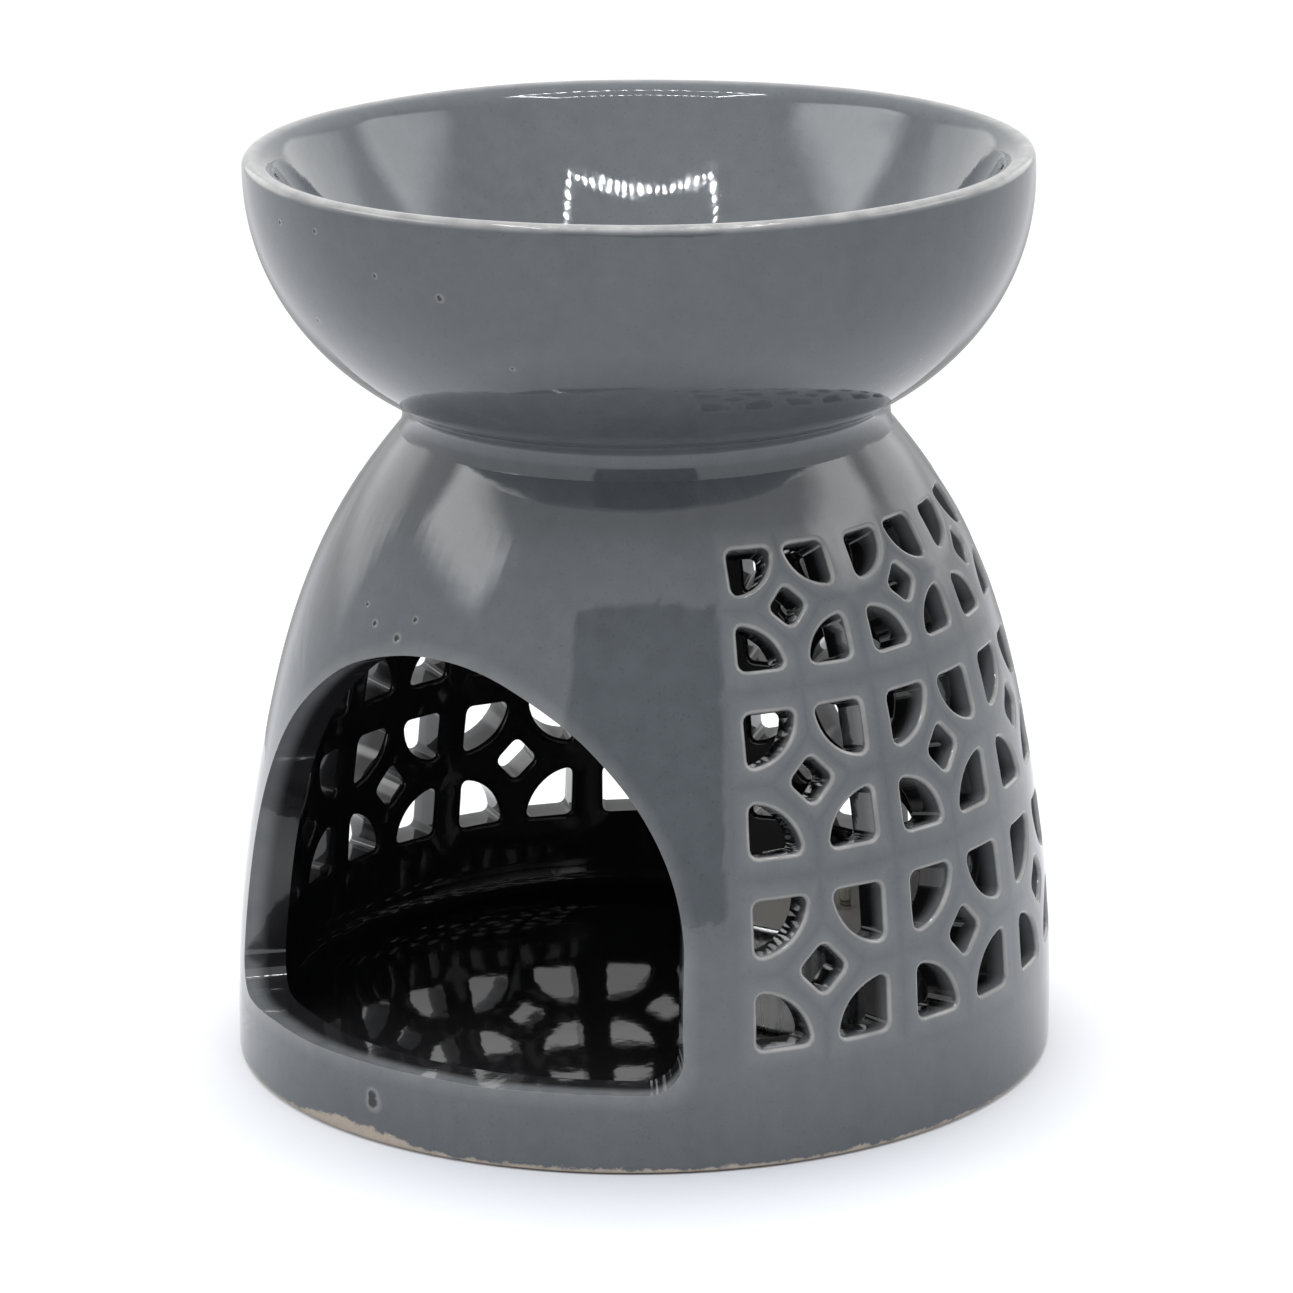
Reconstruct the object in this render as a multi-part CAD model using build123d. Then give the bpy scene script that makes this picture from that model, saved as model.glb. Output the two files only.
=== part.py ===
from build123d import *
import math
import os

# Essential oil burner: a pierced ceramic dome with a doorway for a tea light and a fixed oil bowl on its crown.
# Millimetres and degrees. The origin is at the middle of the foot, +Z is up and the doorway faces -Y.
# A size that follows from others is kept to a millionth of a millimetre.
# A bearing is measured round the Z axis from the doorway, positive towards +X.

# Domed wall: two arcs that flow into each other at the shoulder
foot_radius = 54.2
shoulder_draw_in = 5.3
shoulder_radius = round(foot_radius - shoulder_draw_in, 6)
shoulder_height = 48.0
crown_draw_in = 17.9
crown_radius = round(shoulder_radius - crown_draw_in, 6)
crown_height = 85.5
wall_thickness = 5.5

# Floor slab and foot
floor_thickness = 4.5
foot_edge_round = 0.8
foot_ring_width = 9.0
foot_recess_depth = 0.8

# Doorway, cut square to the wall
door_half_angle = 41.7
door_sill_height = 10.5
door_spring_height = 28.0
door_crown_height = 62.3
door_corner_round = 5.0
door_arch_points = 9
door_cutter_start_share = 0.5

# Trellis: rows are measured up the wall from the floor, columns round it from the doorway
trellis_columns = 10
trellis_first_bearing = 51.5
trellis_column_angle = 25.3
trellis_cell_angle = 19.9
trellis_foot = 11.0
trellis_row_gap = 5.5
trellis_row_heights = (19.0, 18.0, 15.4)
quarter_hole_share = 0.385
diamond_hole_share = 0.36

# Oil bowl
bowl_radius = 51.0
bowl_rim_height = 120.0
bowl_wall = 4.2
bowl_floor = 4.0
bowl_neck_rise = 1.8

# Luting seam in the crease under the bowl
seam_reach = 2.2
seam_run = 1.4
seam_hollow_share = 0.5

# Tea light
cup_radius = 19.0
cup_height = 15.0
cup_skin = 0.4
cup_bead_radius = 0.5
cup_base_round = 1.2
wax_depth = 12.0
wax_clearance = 0.1
wax_edge_round = 0.6
tab_radius = 6.0
tab_thickness = 0.4
tab_collar_height = 3.0
tab_collar_wall = 0.5
wick_radius = 0.8
wick_clearance = 0.1
wick_showing = 7.0
tealight_wall_gap = 2.7
tealight_offset = round(foot_radius - wall_thickness - tealight_wall_gap - cup_radius - cup_bead_radius, 6)
tealight_bearing = 126.5

# How far a cutter runs past what it cuts
overrun = 2.0


# The curve of the wall, worked out from the sizes above
lower_run = foot_radius - shoulder_radius
lower_rise = shoulder_height - floor_thickness
lower_bend = (lower_run**2 + lower_rise**2) / (2 * lower_run)
lower_turn = 2 * math.atan2(lower_run, lower_rise)
upper_run = shoulder_radius - crown_radius
upper_rise = crown_height - shoulder_height
upper_turn = 2 * (math.atan2(upper_run, upper_rise) - lower_turn)
upper_bend = math.hypot(upper_run, upper_rise) / (2 * math.sin(upper_turn / 2))
lower_centre = Vector(foot_radius - lower_bend, floor_thickness)
upper_centre = lower_centre + Vector(math.cos(lower_turn), math.sin(lower_turn)) * (lower_bend - upper_bend)

# The curve of the bowl, from its neck to its lip
lip_height = bowl_rim_height - bowl_wall / 2
bowl_rise = lip_height - crown_height - bowl_neck_rise
bowl_run = bowl_radius - crown_radius
bowl_bend = (bowl_rise**2 + bowl_run**2) / (2 * bowl_run)
neck_angle = math.atan2(bowl_rise, bowl_bend - bowl_run)


def wall_lean(rise):
    """Angle that the wall leans in, at a distance up its outer face from the floor."""
    lower_length = lower_bend * lower_turn
    if rise < lower_length:
        return rise / lower_bend
    return lower_turn + (rise - lower_length) / upper_bend


def on_arc(centre, bend, lean):
    """Point of an arc, as radius and height, where the wall leans in by an angle."""
    return centre + Vector(math.cos(lean), math.sin(lean)) * bend


def wall_point(lean):
    """Point of the wall's outer face, as radius and height, where it leans in by an angle."""
    if lean < lower_turn:
        return on_arc(lower_centre, lower_bend, lean)
    return on_arc(upper_centre, upper_bend, lean)


def wall_arcs(inset):
    """The wall's two arcs, set in from its outer face, from the floor to the level crown."""
    lower = lower_bend - inset
    upper = upper_bend - inset
    top_turn = math.asin((crown_height - upper_centre.Y) / upper)
    lower_arc = ThreePointArc(*[on_arc(lower_centre, lower, lower_turn * share) for share in (0, 1 / 2, 1)])
    upper_leans = [lower_turn + (top_turn - lower_turn) * share for share in (0, 1 / 2, 1)]
    upper_arc = ThreePointArc(*[on_arc(upper_centre, upper, lean) for lean in upper_leans])
    return lower_arc, upper_arc


def turned(outline):
    """Solid of revolution about Z from a closed outline of radius and height."""
    return revolve(Plane.XZ * make_face(outline), Axis.Z)


def ring_outline(inner_radius, outer_radius, bottom, top):
    """Closed rectangular outline between two radii and two heights."""
    return Polyline(
        (inner_radius, bottom), (outer_radius, bottom), (outer_radius, top), (inner_radius, top), close=True
    ).edges()


def domed_wall():
    """The plain wall before the doorway and the trellis are cut."""
    outer = wall_arcs(0)
    inner = wall_arcs(wall_thickness)
    crown = Line(outer[1] @ 1, inner[1] @ 1)
    bottom = Line(outer[0] @ 0, inner[0] @ 0)
    return turned([*outer, crown, *inner, bottom])


def door_section(distance):
    """Outline of the doorway on an upright plane at a distance in front of the axis."""
    half_angle = math.radians(door_half_angle)
    arch_rise = door_crown_height - door_spring_height
    arch = []
    for step in range(door_arch_points):
        turn = math.pi * step / (door_arch_points - 1)
        across = distance * math.tan(half_angle * math.cos(turn))
        arch.append((across, door_spring_height + arch_rise * math.sin(turn)))
    half_width = distance * math.tan(half_angle)
    sill_right = (half_width, door_sill_height)
    sill_left = (-half_width, door_sill_height)
    right = Line(sill_right, arch[0])
    curve = Spline(*arch, tangents=[(0, 1), (0, -1)])
    left = Line(arch[-1], sill_left)
    outline = make_face([right, curve, left, Line(sill_left, sill_right)])
    lower_corners = outline.vertices().sort_by(Axis.Y)[:2]
    return Plane.XZ.offset(distance) * fillet(lower_corners, door_corner_round)


def door_cutter():
    """Doorway as a solid that narrows towards the axis, so that its sides are square to the wall."""
    near = foot_radius * door_cutter_start_share
    far = foot_radius + overrun
    return loft([door_section(near), door_section(far)], ruled=True)


def wall_plane(bearing, rise):
    """Plane on the wall's outer face: X runs round the wall, Y up it and Z straight out."""
    lean = wall_lean(rise)
    point = wall_point(lean)
    turn = math.radians(bearing)
    outward = (math.sin(turn), -math.cos(turn))
    return Plane(
        origin=(point.X * outward[0], point.X * outward[1], point.Y),
        x_dir=(math.cos(turn), math.sin(turn), 0),
        z_dir=(math.cos(lean) * outward[0], math.cos(lean) * outward[1], math.sin(lean)),
    )


def through_wall(plane, outline):
    """Cutter that runs square through the wall from a flat outline."""
    return extrude(plane * outline, wall_thickness + overrun, both=True)


def quarter_outline(reach, side, level):
    """Quarter disc in its own box, with the square corner on the side and level given as -1 or 1."""
    corner = (side * reach / 2, level * reach / 2)
    across = (-side * reach / 2, level * reach / 2)
    along = (side * reach / 2, -level * reach / 2)
    bulge = reach * (1 / 2 - math.sqrt(1 / 2))
    middle = (side * bulge, level * bulge)
    return make_face([Line(corner, across), ThreePointArc(across, middle, along), Line(along, corner)])


def diamond_outline(width, height):
    """Diamond with its points up, down and to the sides."""
    half_width = width / 2
    half_height = height / 2
    return make_face(
        Polyline((half_width, 0), (0, half_height), (-half_width, 0), (0, -half_height), close=True).edges()
    )


def cell_cutters(bearing, rise, height):
    """The five holes of one trellis cell, whose middle is at a bearing and a distance up the wall."""
    radius = wall_point(wall_lean(rise)).X
    width = radius * math.radians(trellis_cell_angle)
    reach = quarter_hole_share * (width + height) / 2
    cutters = [
        through_wall(
            wall_plane(bearing, rise), diamond_outline(width * diamond_hole_share, height * diamond_hole_share)
        )
    ]
    for side in (-1, 1):
        for level in (-1, 1):
            hole_rise = rise + level * (height - reach) / 2
            hole_radius = wall_point(wall_lean(hole_rise)).X
            hole_bearing = bearing + side * (trellis_cell_angle / 2 - math.degrees(reach / 2 / hole_radius))
            cutters.append(through_wall(wall_plane(hole_bearing, hole_rise), quarter_outline(reach, side, level)))
    return cutters


def trellis_cutters():
    """All the holes of the trellis: one column, row by row up the wall, repeated round it."""
    column = []
    row_foot = trellis_foot
    for height in trellis_row_heights:
        column += cell_cutters(trellis_first_bearing + trellis_cell_angle / 2, row_foot + height / 2, height)
        row_foot += height + trellis_row_gap
    turns = [Rot(0, 0, step * trellis_column_angle) for step in range(trellis_columns)]
    return [turn * cutter for turn in turns for cutter in column]


def pierced_body():
    """Wall with its doorway and its trellis."""
    return domed_wall() - door_cutter() - trellis_cutters()


def base_slab():
    """Floor of the candle chamber, with a foot ring left proud underneath."""
    slab = turned(ring_outline(0, foot_radius, 0, floor_thickness))
    slab = fillet(slab.edges().group_by(Axis.Z)[0], foot_edge_round)
    recess_radius = foot_radius - foot_ring_width
    return slab - turned(ring_outline(0, recess_radius, -overrun, foot_recess_depth))


def bowl_curve(bend, angle):
    """Point of the bowl's wall, as radius and height, at an angle down from its lip."""
    return Vector(bowl_radius - bowl_bend + bend * math.cos(angle), lip_height - bend * math.sin(angle))


def oil_bowl():
    """Dish that sits on the level crown, with an even wall and a half-round lip."""
    inner_bend = bowl_bend - bowl_wall
    depth = min(lip_height - crown_height - bowl_floor, inner_bend)
    floor_angle = math.asin(depth / inner_bend)
    outer = ThreePointArc(*[bowl_curve(bowl_bend, neck_angle * share) for share in (1, 1 / 2, 0)])
    lip = ThreePointArc(
        outer @ 1, (bowl_radius - bowl_wall / 2, bowl_rim_height), (bowl_radius - bowl_wall, lip_height)
    )
    inner = ThreePointArc(*[bowl_curve(inner_bend, floor_angle * share) for share in (0, 1 / 2, 1)])
    rest = Polyline(
        inner @ 1, (0, lip_height - depth), (0, crown_height), (crown_radius, crown_height), outer @ 0
    )
    return turned([outer, lip, inner, *rest.edges()])


def luting_seam(bowl):
    """Hollow-faced ring of slip that fills the crease between the bowl's neck and the crown."""
    crease = Vector(crown_radius, crown_height)
    neck = bowl_curve(bowl_bend, neck_angle)
    top = bowl_curve(bowl_bend, neck_angle - seam_reach / bowl_bend)
    foot = wall_point(lower_turn + upper_turn - seam_run / upper_bend)
    middle = crease + ((top + foot) * (1 / 2) - crease) * seam_hollow_share
    outline = [ThreePointArc(top, middle, foot), *Polyline(foot, crease, neck, top).edges()]
    return turned(outline) - domed_wall() - bowl


def tealight_place():
    """Where the tea light stands: on the chamber's floor, to one side behind the wall."""
    turn = math.radians(tealight_bearing)
    return Pos(tealight_offset * math.sin(turn), -tealight_offset * math.cos(turn), floor_thickness)


def tealight_cup():
    """Thin metal cup with a rounded base and a beaded rim."""
    bead_height = cup_height - cup_bead_radius
    outside = fillet(
        turned(ring_outline(0, cup_radius, 0, bead_height)).edges().group_by(Axis.Z)[0], cup_base_round
    )
    inside = turned(ring_outline(0, cup_radius - cup_skin, cup_skin, cup_height + overrun))
    bead = Pos(0, 0, bead_height) * Torus(cup_radius, cup_bead_radius)
    return outside - inside + bead


def tealight_wick_tab():
    """Metal disc on the cup's floor with a collar that grips the wick."""
    collar_bore = wick_radius + wick_clearance
    disc = turned(ring_outline(0, tab_radius, cup_skin, cup_skin + tab_thickness))
    collar_top = cup_skin + tab_thickness + tab_collar_height
    collar = turned(ring_outline(collar_bore, collar_bore + tab_collar_wall, cup_skin, collar_top))
    return disc + collar


def tealight_wick():
    """Cotton wick that stands in the tab's collar and shows above the wax."""
    return turned(ring_outline(0, wick_radius, cup_skin + tab_thickness, cup_skin + wax_depth + wick_showing))


def tealight_wax():
    """Wax that fills the cup round the wick and its tab."""
    radius = cup_radius - cup_skin - wax_clearance
    top = cup_skin + wax_depth
    wax = fillet(turned(ring_outline(0, radius, cup_skin, top)).edges().group_by(Axis.Z)[-1], wax_edge_round)
    tab_room = turned(ring_outline(0, tab_radius + wax_clearance, 0, cup_skin + tab_thickness + wax_clearance))
    collar_radius = wick_radius + wick_clearance + tab_collar_wall + wax_clearance
    collar_top = cup_skin + tab_thickness + tab_collar_height + wax_clearance
    collar_room = turned(ring_outline(0, collar_radius, 0, collar_top))
    wick_room = turned(ring_outline(0, wick_radius + wick_clearance, 0, top + overrun))
    return wax - tab_room - collar_room - wick_room


bowl = oil_bowl()
place = tealight_place()
pieces = {
    "base_slab": base_slab(),
    "pierced_body": pierced_body(),
    "oil_bowl": bowl,
    "luting_seam": luting_seam(bowl),
    "tealight_cup": place * tealight_cup(),
    "tealight_wick_tab": place * tealight_wick_tab(),
    "tealight_wax": place * tealight_wax(),
    "tealight_wick": place * tealight_wick(),
}

os.makedirs("parts", exist_ok=True)
for name, shape in pieces.items():
    export_step(shape, f"parts/{name}.step")
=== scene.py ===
import math

import bmesh
import bpy
from bpy.props import FloatProperty, FloatVectorProperty, IntProperty, PointerProperty
from mathutils import Matrix, Vector, noise
from mathutils.geometry import interpolate_bezier


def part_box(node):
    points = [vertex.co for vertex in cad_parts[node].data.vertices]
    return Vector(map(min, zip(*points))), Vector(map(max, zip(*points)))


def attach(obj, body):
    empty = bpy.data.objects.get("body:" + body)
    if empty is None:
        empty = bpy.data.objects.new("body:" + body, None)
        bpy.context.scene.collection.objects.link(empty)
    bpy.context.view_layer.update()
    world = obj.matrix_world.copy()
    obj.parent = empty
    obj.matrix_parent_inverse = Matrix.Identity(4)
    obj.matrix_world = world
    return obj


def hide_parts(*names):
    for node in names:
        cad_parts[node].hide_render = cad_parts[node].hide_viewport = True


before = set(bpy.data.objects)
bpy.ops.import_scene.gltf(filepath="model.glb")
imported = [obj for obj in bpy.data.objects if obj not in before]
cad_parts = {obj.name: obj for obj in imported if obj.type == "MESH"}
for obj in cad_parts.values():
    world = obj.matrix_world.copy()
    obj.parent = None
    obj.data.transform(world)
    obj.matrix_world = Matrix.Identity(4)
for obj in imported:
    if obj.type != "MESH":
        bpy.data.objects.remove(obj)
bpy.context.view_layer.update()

bl_info = {
    "name": "Oil burner",
    "version": (1, 0, 0),
    "blender": (4, 5, 0),
    "location": "View3D > Sidebar > Burner",
    "description": "Models a glazed oil burner, its oil bowl and its tea light, on a white stage",
    "category": "Add Mesh",
}

# A thousandth of a metre, and a length that is too small to see
MM = 0.001
HAIR = 0.01 * MM

# Corners of the solids that sizes are taken from
SLAB_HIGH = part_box("base_slab")[1]
BOWL_LOW, BOWL_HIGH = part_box("oil_bowl")
CUP_LOW, CUP_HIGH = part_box("tealight_cup")
CUP_PLACE = ((CUP_LOW.x + CUP_HIGH.x) / 2, (CUP_LOW.y + CUP_HIGH.y) / 2, CUP_LOW.z)
WAX_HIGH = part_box("tealight_wax")[1]
WICK_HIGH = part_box("tealight_wick")[1]

# Width of the photograph and length of its lens in pixels, and the camera's sensor in millimetres
PHOTO_WIDTH, PHOTO_LENS, SENSOR = 1293, 5600, 36

# How high the foot ring's inner side stands, in depths of the recess inside it
RING_RISE = 1.5

# How much of the lean the bowl takes back by its rim, as a share
LEAN_BACK = 0.55


def length(name, description, default):
    """A size in metres, shown in the scene's units."""
    return FloatProperty(name=name, description=description, default=default, unit="LENGTH", precision=4)


def angle(name, description, degrees):
    """An angle, given in degrees."""
    return FloatProperty(name=name, description=description, default=math.radians(degrees), subtype="ANGLE")


def share(name, description, default):
    """A share between 0 and 1."""
    return FloatProperty(name=name, description=description, default=default, min=0, max=1, subtype="FACTOR")


def colour(name, description, default):
    """A colour, in linear light."""
    return FloatVectorProperty(
        name=name, description=description, default=default, min=0, max=1, size=3, subtype="COLOR"
    )


class BurnerWallSettings(bpy.types.PropertyGroup):
    """Sizes of the domed wall, its doorway and its trellis."""

    foot_radius: length("Foot radius", "Radius of the wall where it stands", SLAB_HIGH.x)
    floor_thickness: length("Floor thickness", "Height of the chamber's floor", SLAB_HIGH.z)
    foot_ring_width: length("Foot ring width", "Width of the ring that the burner stands on", 9 * MM)
    foot_recess: length("Foot recess", "Depth of the hollow inside the foot ring", 0.8 * MM)
    foot_round: length("Foot round", "Rounding of the foot's outer edge", 0.8 * MM)
    shoulder_draw_in: length("Shoulder draw-in", "How far the wall draws in up to the shoulder", 5.3 * MM)
    shoulder_height: length("Shoulder height", "Height where the wall starts to bend over", 48 * MM)
    crown_draw_in: length("Crown draw-in", "How far the wall draws in above the shoulder", 17.9 * MM)
    crown_height: length("Crown height", "Height of the dome's level top", BOWL_LOW.z)
    wall_thickness: length("Wall thickness", "Thickness of the wall", 5.5 * MM)
    door_half_angle: angle("Door half angle", "Half the doorway's width, as an angle round the axis", 41.7)
    door_sill: length("Door sill", "Height of the doorway's sill", 10.5 * MM)
    door_spring: length("Door spring", "Height where the doorway's arch starts", 28 * MM)
    door_crown: length("Door crown", "Height of the top of the doorway", 62.3 * MM)
    door_corner: length("Door corner", "Rounding of the sill's corners", 5 * MM)
    door_edge: length("Door edge", "Rounding of the doorway's edges", 1.5 * MM)
    columns: IntProperty(name="Columns", description="Columns of the trellis", default=10, min=1)
    first_bearing: angle("First bearing", "From the doorway's middle to the first column", 51.5)
    column_angle: angle("Column angle", "From one column to the next", 25.3)
    cell_angle: angle("Cell angle", "Width of a trellis cell", 19.9)
    trellis_foot: length("Trellis foot", "Distance up the wall from the floor to the first row", 11 * MM)
    row_gap: length("Row gap", "Plain band between two rows", 5.5 * MM)
    row_heights: FloatVectorProperty(
        name="Row heights", description="Heights of the rows, lowest first", size=3, unit="LENGTH",
        default=(19 * MM, 18 * MM, 15.4 * MM), precision=4,
    )
    quarter_share: share("Quarter hole", "Size of a quarter hole as a share of its cell", 0.385)
    diamond_share: share("Diamond hole", "Size of a diamond hole as a share of its cell", 0.36)
    hole_corner: length("Hole corner", "Rounding of the holes' corners", 1.0 * MM)
    hole_edge: length("Hole edge", "Rounding of the holes' edges", 0.6 * MM)
    hand_wobble: length("Hand wobble", "How far the hand-cut holes stray from their pattern", 0.25 * MM)
    lean: length("Lean", "How far the crown stands off the foot's middle, to one side", 1.2 * MM)
    lean_bearing: angle("Lean bearing", "Side that the wall leans to, from the doorway", 126.5)
    fullness: length("Fullness", "How far the wall swells out between its shoulder and its crown", 0.9 * MM)


class BurnerBowlSettings(bpy.types.PropertyGroup):
    """Sizes of the oil bowl and of the seam under it."""

    radius: length("Bowl radius", "Radius of the bowl at its lip", BOWL_HIGH.x)
    rim_height: length("Rim height", "Height of the rim above the foot", BOWL_HIGH.z)
    lip_outside: length("Lip outside", "Rounding of the lip's outer side", 1.1 * MM)
    lip_inside: length("Lip inside", "Rounding of the lip's inner side", 3.6 * MM)
    neck_rise: length("Neck rise", "Height of the upright neck under the bowl", 1.8 * MM)
    fullness: length("Fullness", "How far the bowl's belly swells out", 0.4 * MM)
    lip_slope: angle("Lip slope", "How far the hollow leans out from upright under the lip", 26)
    side_slope: angle("Side slope", "How far the hollow leans out where its side ends", 40)
    side_bend: length("Side bend", "Radius of the hollow's side, from the lip down", 91 * MM)
    floor_slope: angle("Floor slope", "How far the hollow leans out where its floor starts", 85)
    floor_bend: length("Floor bend", "Radius of the bend from the hollow's side to its floor", 25.5 * MM)
    seam_reach: length("Seam reach", "How far the seam climbs the bowl", 3.0 * MM)
    seam_run: length("Seam run", "How far the seam runs down the wall", 2.6 * MM)


class BurnerTealightSettings(bpy.types.PropertyGroup):
    """Sizes of the tea light, which stand where its solids do."""

    place: FloatVectorProperty(
        name="Place", description="Where the tea light stands on the chamber's floor", size=3,
        subtype="TRANSLATION", default=CUP_PLACE,
    )
    radius: length("Cup radius", "Radius of the cup under its bead", 19 * MM)
    height: length("Cup height", "Height of the cup", CUP_HIGH.z - CUP_LOW.z)
    skin: length("Cup skin", "Thickness of the cup's metal", 0.4 * MM)
    bead: length("Bead radius", "Radius of the bead round the rim", 0.5 * MM)
    base_round: length("Base round", "Rounding of the cup's base", 1.2 * MM)
    pleats: IntProperty(name="Pleats", description="Pleats pressed into the cup's side", default=60, min=3)
    wax_top: length("Wax top", "Height of the wax above the cup's foot", WAX_HIGH.z - CUP_LOW.z)
    wick_top: length("Wick top", "Height of the wick's tip above the cup's foot", WICK_HIGH.z - CUP_LOW.z)
    wick_radius: length("Wick radius", "Radius of the wick", 0.8 * MM)


class BurnerFinishSettings(bpy.types.PropertyGroup):
    """Colours of the glaze, the clay and the tea light."""

    glaze: colour("Glaze", "Grey glaze on the outside", (0.068, 0.076, 0.085))
    # Colour of thin glaze over edges, which also paints a highlight there
    thin_glaze_and_highlight: colour("Thin glaze", "Glaze where it thins over an edge", (0.255, 0.253, 0.250))
    # Painted shade inside the chamber, deep in the holes and under the bowl
    inside_shade: colour("Inside glaze", "Dark glaze inside the chamber", (0.011, 0.011, 0.012))
    clay: colour("Bare clay", "Unglazed clay under the foot", (0.33, 0.285, 0.24))
    wax: colour("Wax", "Wax of the tea light", (0.80, 0.78, 0.73))
    aluminium: colour("Aluminium", "Metal of the cup", (0.80, 0.80, 0.81))
    cotton: colour("Cotton", "Wick of the tea light", (0.72, 0.68, 0.60))


class BurnerStageSettings(bpy.types.PropertyGroup):
    """Camera, floor and tent."""

    bearing: angle("Camera bearing", "Bearing of the camera from the doorway", 36.5)
    elevation: angle("Camera elevation", "Height of the camera above the horizon", 15.932)
    roll: angle("Camera roll", "Turn of the camera about its own line of sight", -0.63)
    distance: length("Camera distance", "From the camera to the point that it looks at", 738.06 * MM)
    aim_height: length("Aim height", "Height of the point that the camera looks at", 53.292 * MM)
    aim_side: length("Aim side", "How far that point lies to the camera's right of the axis", 0.281 * MM)
    focal: FloatProperty(
        name="Focal length", description="Lens in millimetres", default=SENSOR * PHOTO_LENS / PHOTO_WIDTH
    )
    floor: colour("Floor", "Colour of the floor, as it throws light back", (0.72, 0.725, 0.74))
    # Darker colour that the floor shows to the camera and in reflections: painted shadow
    shadow: colour("Shadow", "Colour of the floor where its shadow is seen", (0.405, 0.418, 0.448))
    tent: FloatProperty(name="Tent", description="Light of the tent's white cloth", default=0.8, min=0)


class WallCurve:
    """The wall's outer face: an upright foot and two arcs that flow into each other at the shoulder."""

    def __init__(self, wall):
        self.foot = wall.foot_radius
        self.floor = wall.floor_thickness
        self.thickness = wall.wall_thickness
        self.crown = wall.crown_height
        self.foot_inside = wall.foot_radius - wall.foot_ring_width
        self.foot_recess = wall.foot_recess
        run = wall.shoulder_draw_in
        rise = wall.shoulder_height - wall.floor_thickness
        self.lower_bend = (run**2 + rise**2) / (2 * run)
        self.lower_turn = 2 * math.atan2(run, rise)
        run = wall.crown_draw_in
        rise = wall.crown_height - wall.shoulder_height
        upper_turn = 2 * (math.atan2(run, rise) - self.lower_turn)
        self.upper_bend = math.hypot(run, rise) / (2 * math.sin(upper_turn / 2))
        self.lower_length = self.lower_bend * self.lower_turn
        self.top = self.lower_length + self.upper_bend * upper_turn
        self.lower_centre = Vector((self.foot - self.lower_bend, self.floor))
        joint = Vector((math.cos(self.lower_turn), math.sin(self.lower_turn)))
        self.upper_centre = self.lower_centre + joint * (self.lower_bend - self.upper_bend)

    def arc(self, rise):
        """Centre, bend and lean of the wall at a distance up it from the floor."""
        if rise < self.lower_length:
            return self.lower_centre, self.lower_bend, rise / self.lower_bend
        lean = self.lower_turn + (rise - self.lower_length) / self.upper_bend
        return self.upper_centre, self.upper_bend, lean

    def profile(self, rise, inset=0):
        """Radius and height of the wall at a distance up it from the floor, set in from the outer face."""
        if rise <= 0:
            return Vector((self.foot - inset, self.floor + rise))
        centre, bend, lean = self.arc(rise)
        return centre + Vector((math.cos(lean), math.sin(lean))) * (bend - inset)

    def at_height(self, height, inset=0):
        """Radius of the wall at a height."""
        if height <= self.floor:
            return self.foot - inset
        bend = self.lower_bend - inset
        if height <= self.lower_centre.y + bend * math.sin(self.lower_turn):
            centre = self.lower_centre
        else:
            centre, bend = self.upper_centre, self.upper_bend - inset
        return centre.x + math.sqrt(bend**2 - (height - centre.y) ** 2)

    def rise_at(self, height):
        """Distance up the outer face from the floor to a height."""
        if height <= self.floor:
            return height - self.floor
        lean = math.asin((height - self.lower_centre.y) / self.lower_bend)
        if lean <= self.lower_turn:
            return lean * self.lower_bend
        lean = math.asin(min(1, (height - self.upper_centre.y) / self.upper_bend))
        return self.lower_length + (lean - self.lower_turn) * self.upper_bend

    def depth(self, radius, height):
        """How deep a point lies under the outer face, as a share of the wall's thickness."""
        if height <= self.floor:
            return (self.foot - radius) / self.thickness
        lower = Vector((radius, height)) - self.lower_centre
        if math.atan2(lower.y, lower.x) <= self.lower_turn:
            return (self.lower_bend - lower.length) / self.thickness
        upper = Vector((radius, height)) - self.upper_centre
        return (self.upper_bend - upper.length) / self.thickness

    def place(self, across, rise, inset=0):
        """Point of the wall from the flat sheet: across is measured round the foot, from the doorway."""
        radius, height = self.profile(rise, inset)
        return turned_point(across / self.foot, radius, height)

    def inside(self, point, level):
        """Point on the inner face behind a point of the outer face, square to the wall or on its level."""
        bearing = math.atan2(point.x, -point.y)
        height = point.z
        if height < self.foot_recess * RING_RISE:
            return turned_point(bearing, self.foot_inside, height)
        if level or height > self.crown - HAIR:
            return turned_point(bearing, self.at_height(height, self.thickness), height)
        return self.place(bearing * self.foot, self.rise_at(height), self.thickness)


def turned_point(bearing, radius, height):
    """Point at a bearing from the doorway, a radius and a height."""
    return Vector((radius * math.sin(bearing), -radius * math.cos(bearing), height))


def verts_of(geom):
    """The vertices among a bmesh operator's results."""
    return [g for g in geom if isinstance(g, bmesh.types.BMVert)]


def edges_of(geom):
    """The edges among a bmesh operator's results."""
    return [g for g in geom if isinstance(g, bmesh.types.BMEdge)]


def ends_of(edges):
    """The vertices of some edges, each once."""
    return list(dict.fromkeys(v for e in edges for v in e.verts))


def drawn_since(bm, before):
    """The edges that were drawn after a set of edges was taken."""
    return [e for e in bm.edges if e not in before]


def glaze_layers(bm):
    """Layers of the vertices for where the glaze thins and a highlight is painted over edges, and for how
    deep in the wall they lie, which sets the painted shade.
    """
    names = ("thin_glaze_and_highlight", "wall_depth")
    for name in names:
        bm.verts.layers.float.new(name)
    return [bm.verts.layers.float[name] for name in names]


def arc_to(bm, vert, centre, turn, steps):
    """Draws an arc of a turned profile from a vertex, about a centre given as radius and height."""
    made = bmesh.ops.spin(
        bm, geom=[vert], cent=(centre[0], 0, centre[1]), axis=(0, 1, 0), angle=turn, steps=steps
    )
    return verts_of(made["geom_last"])[0]


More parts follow.
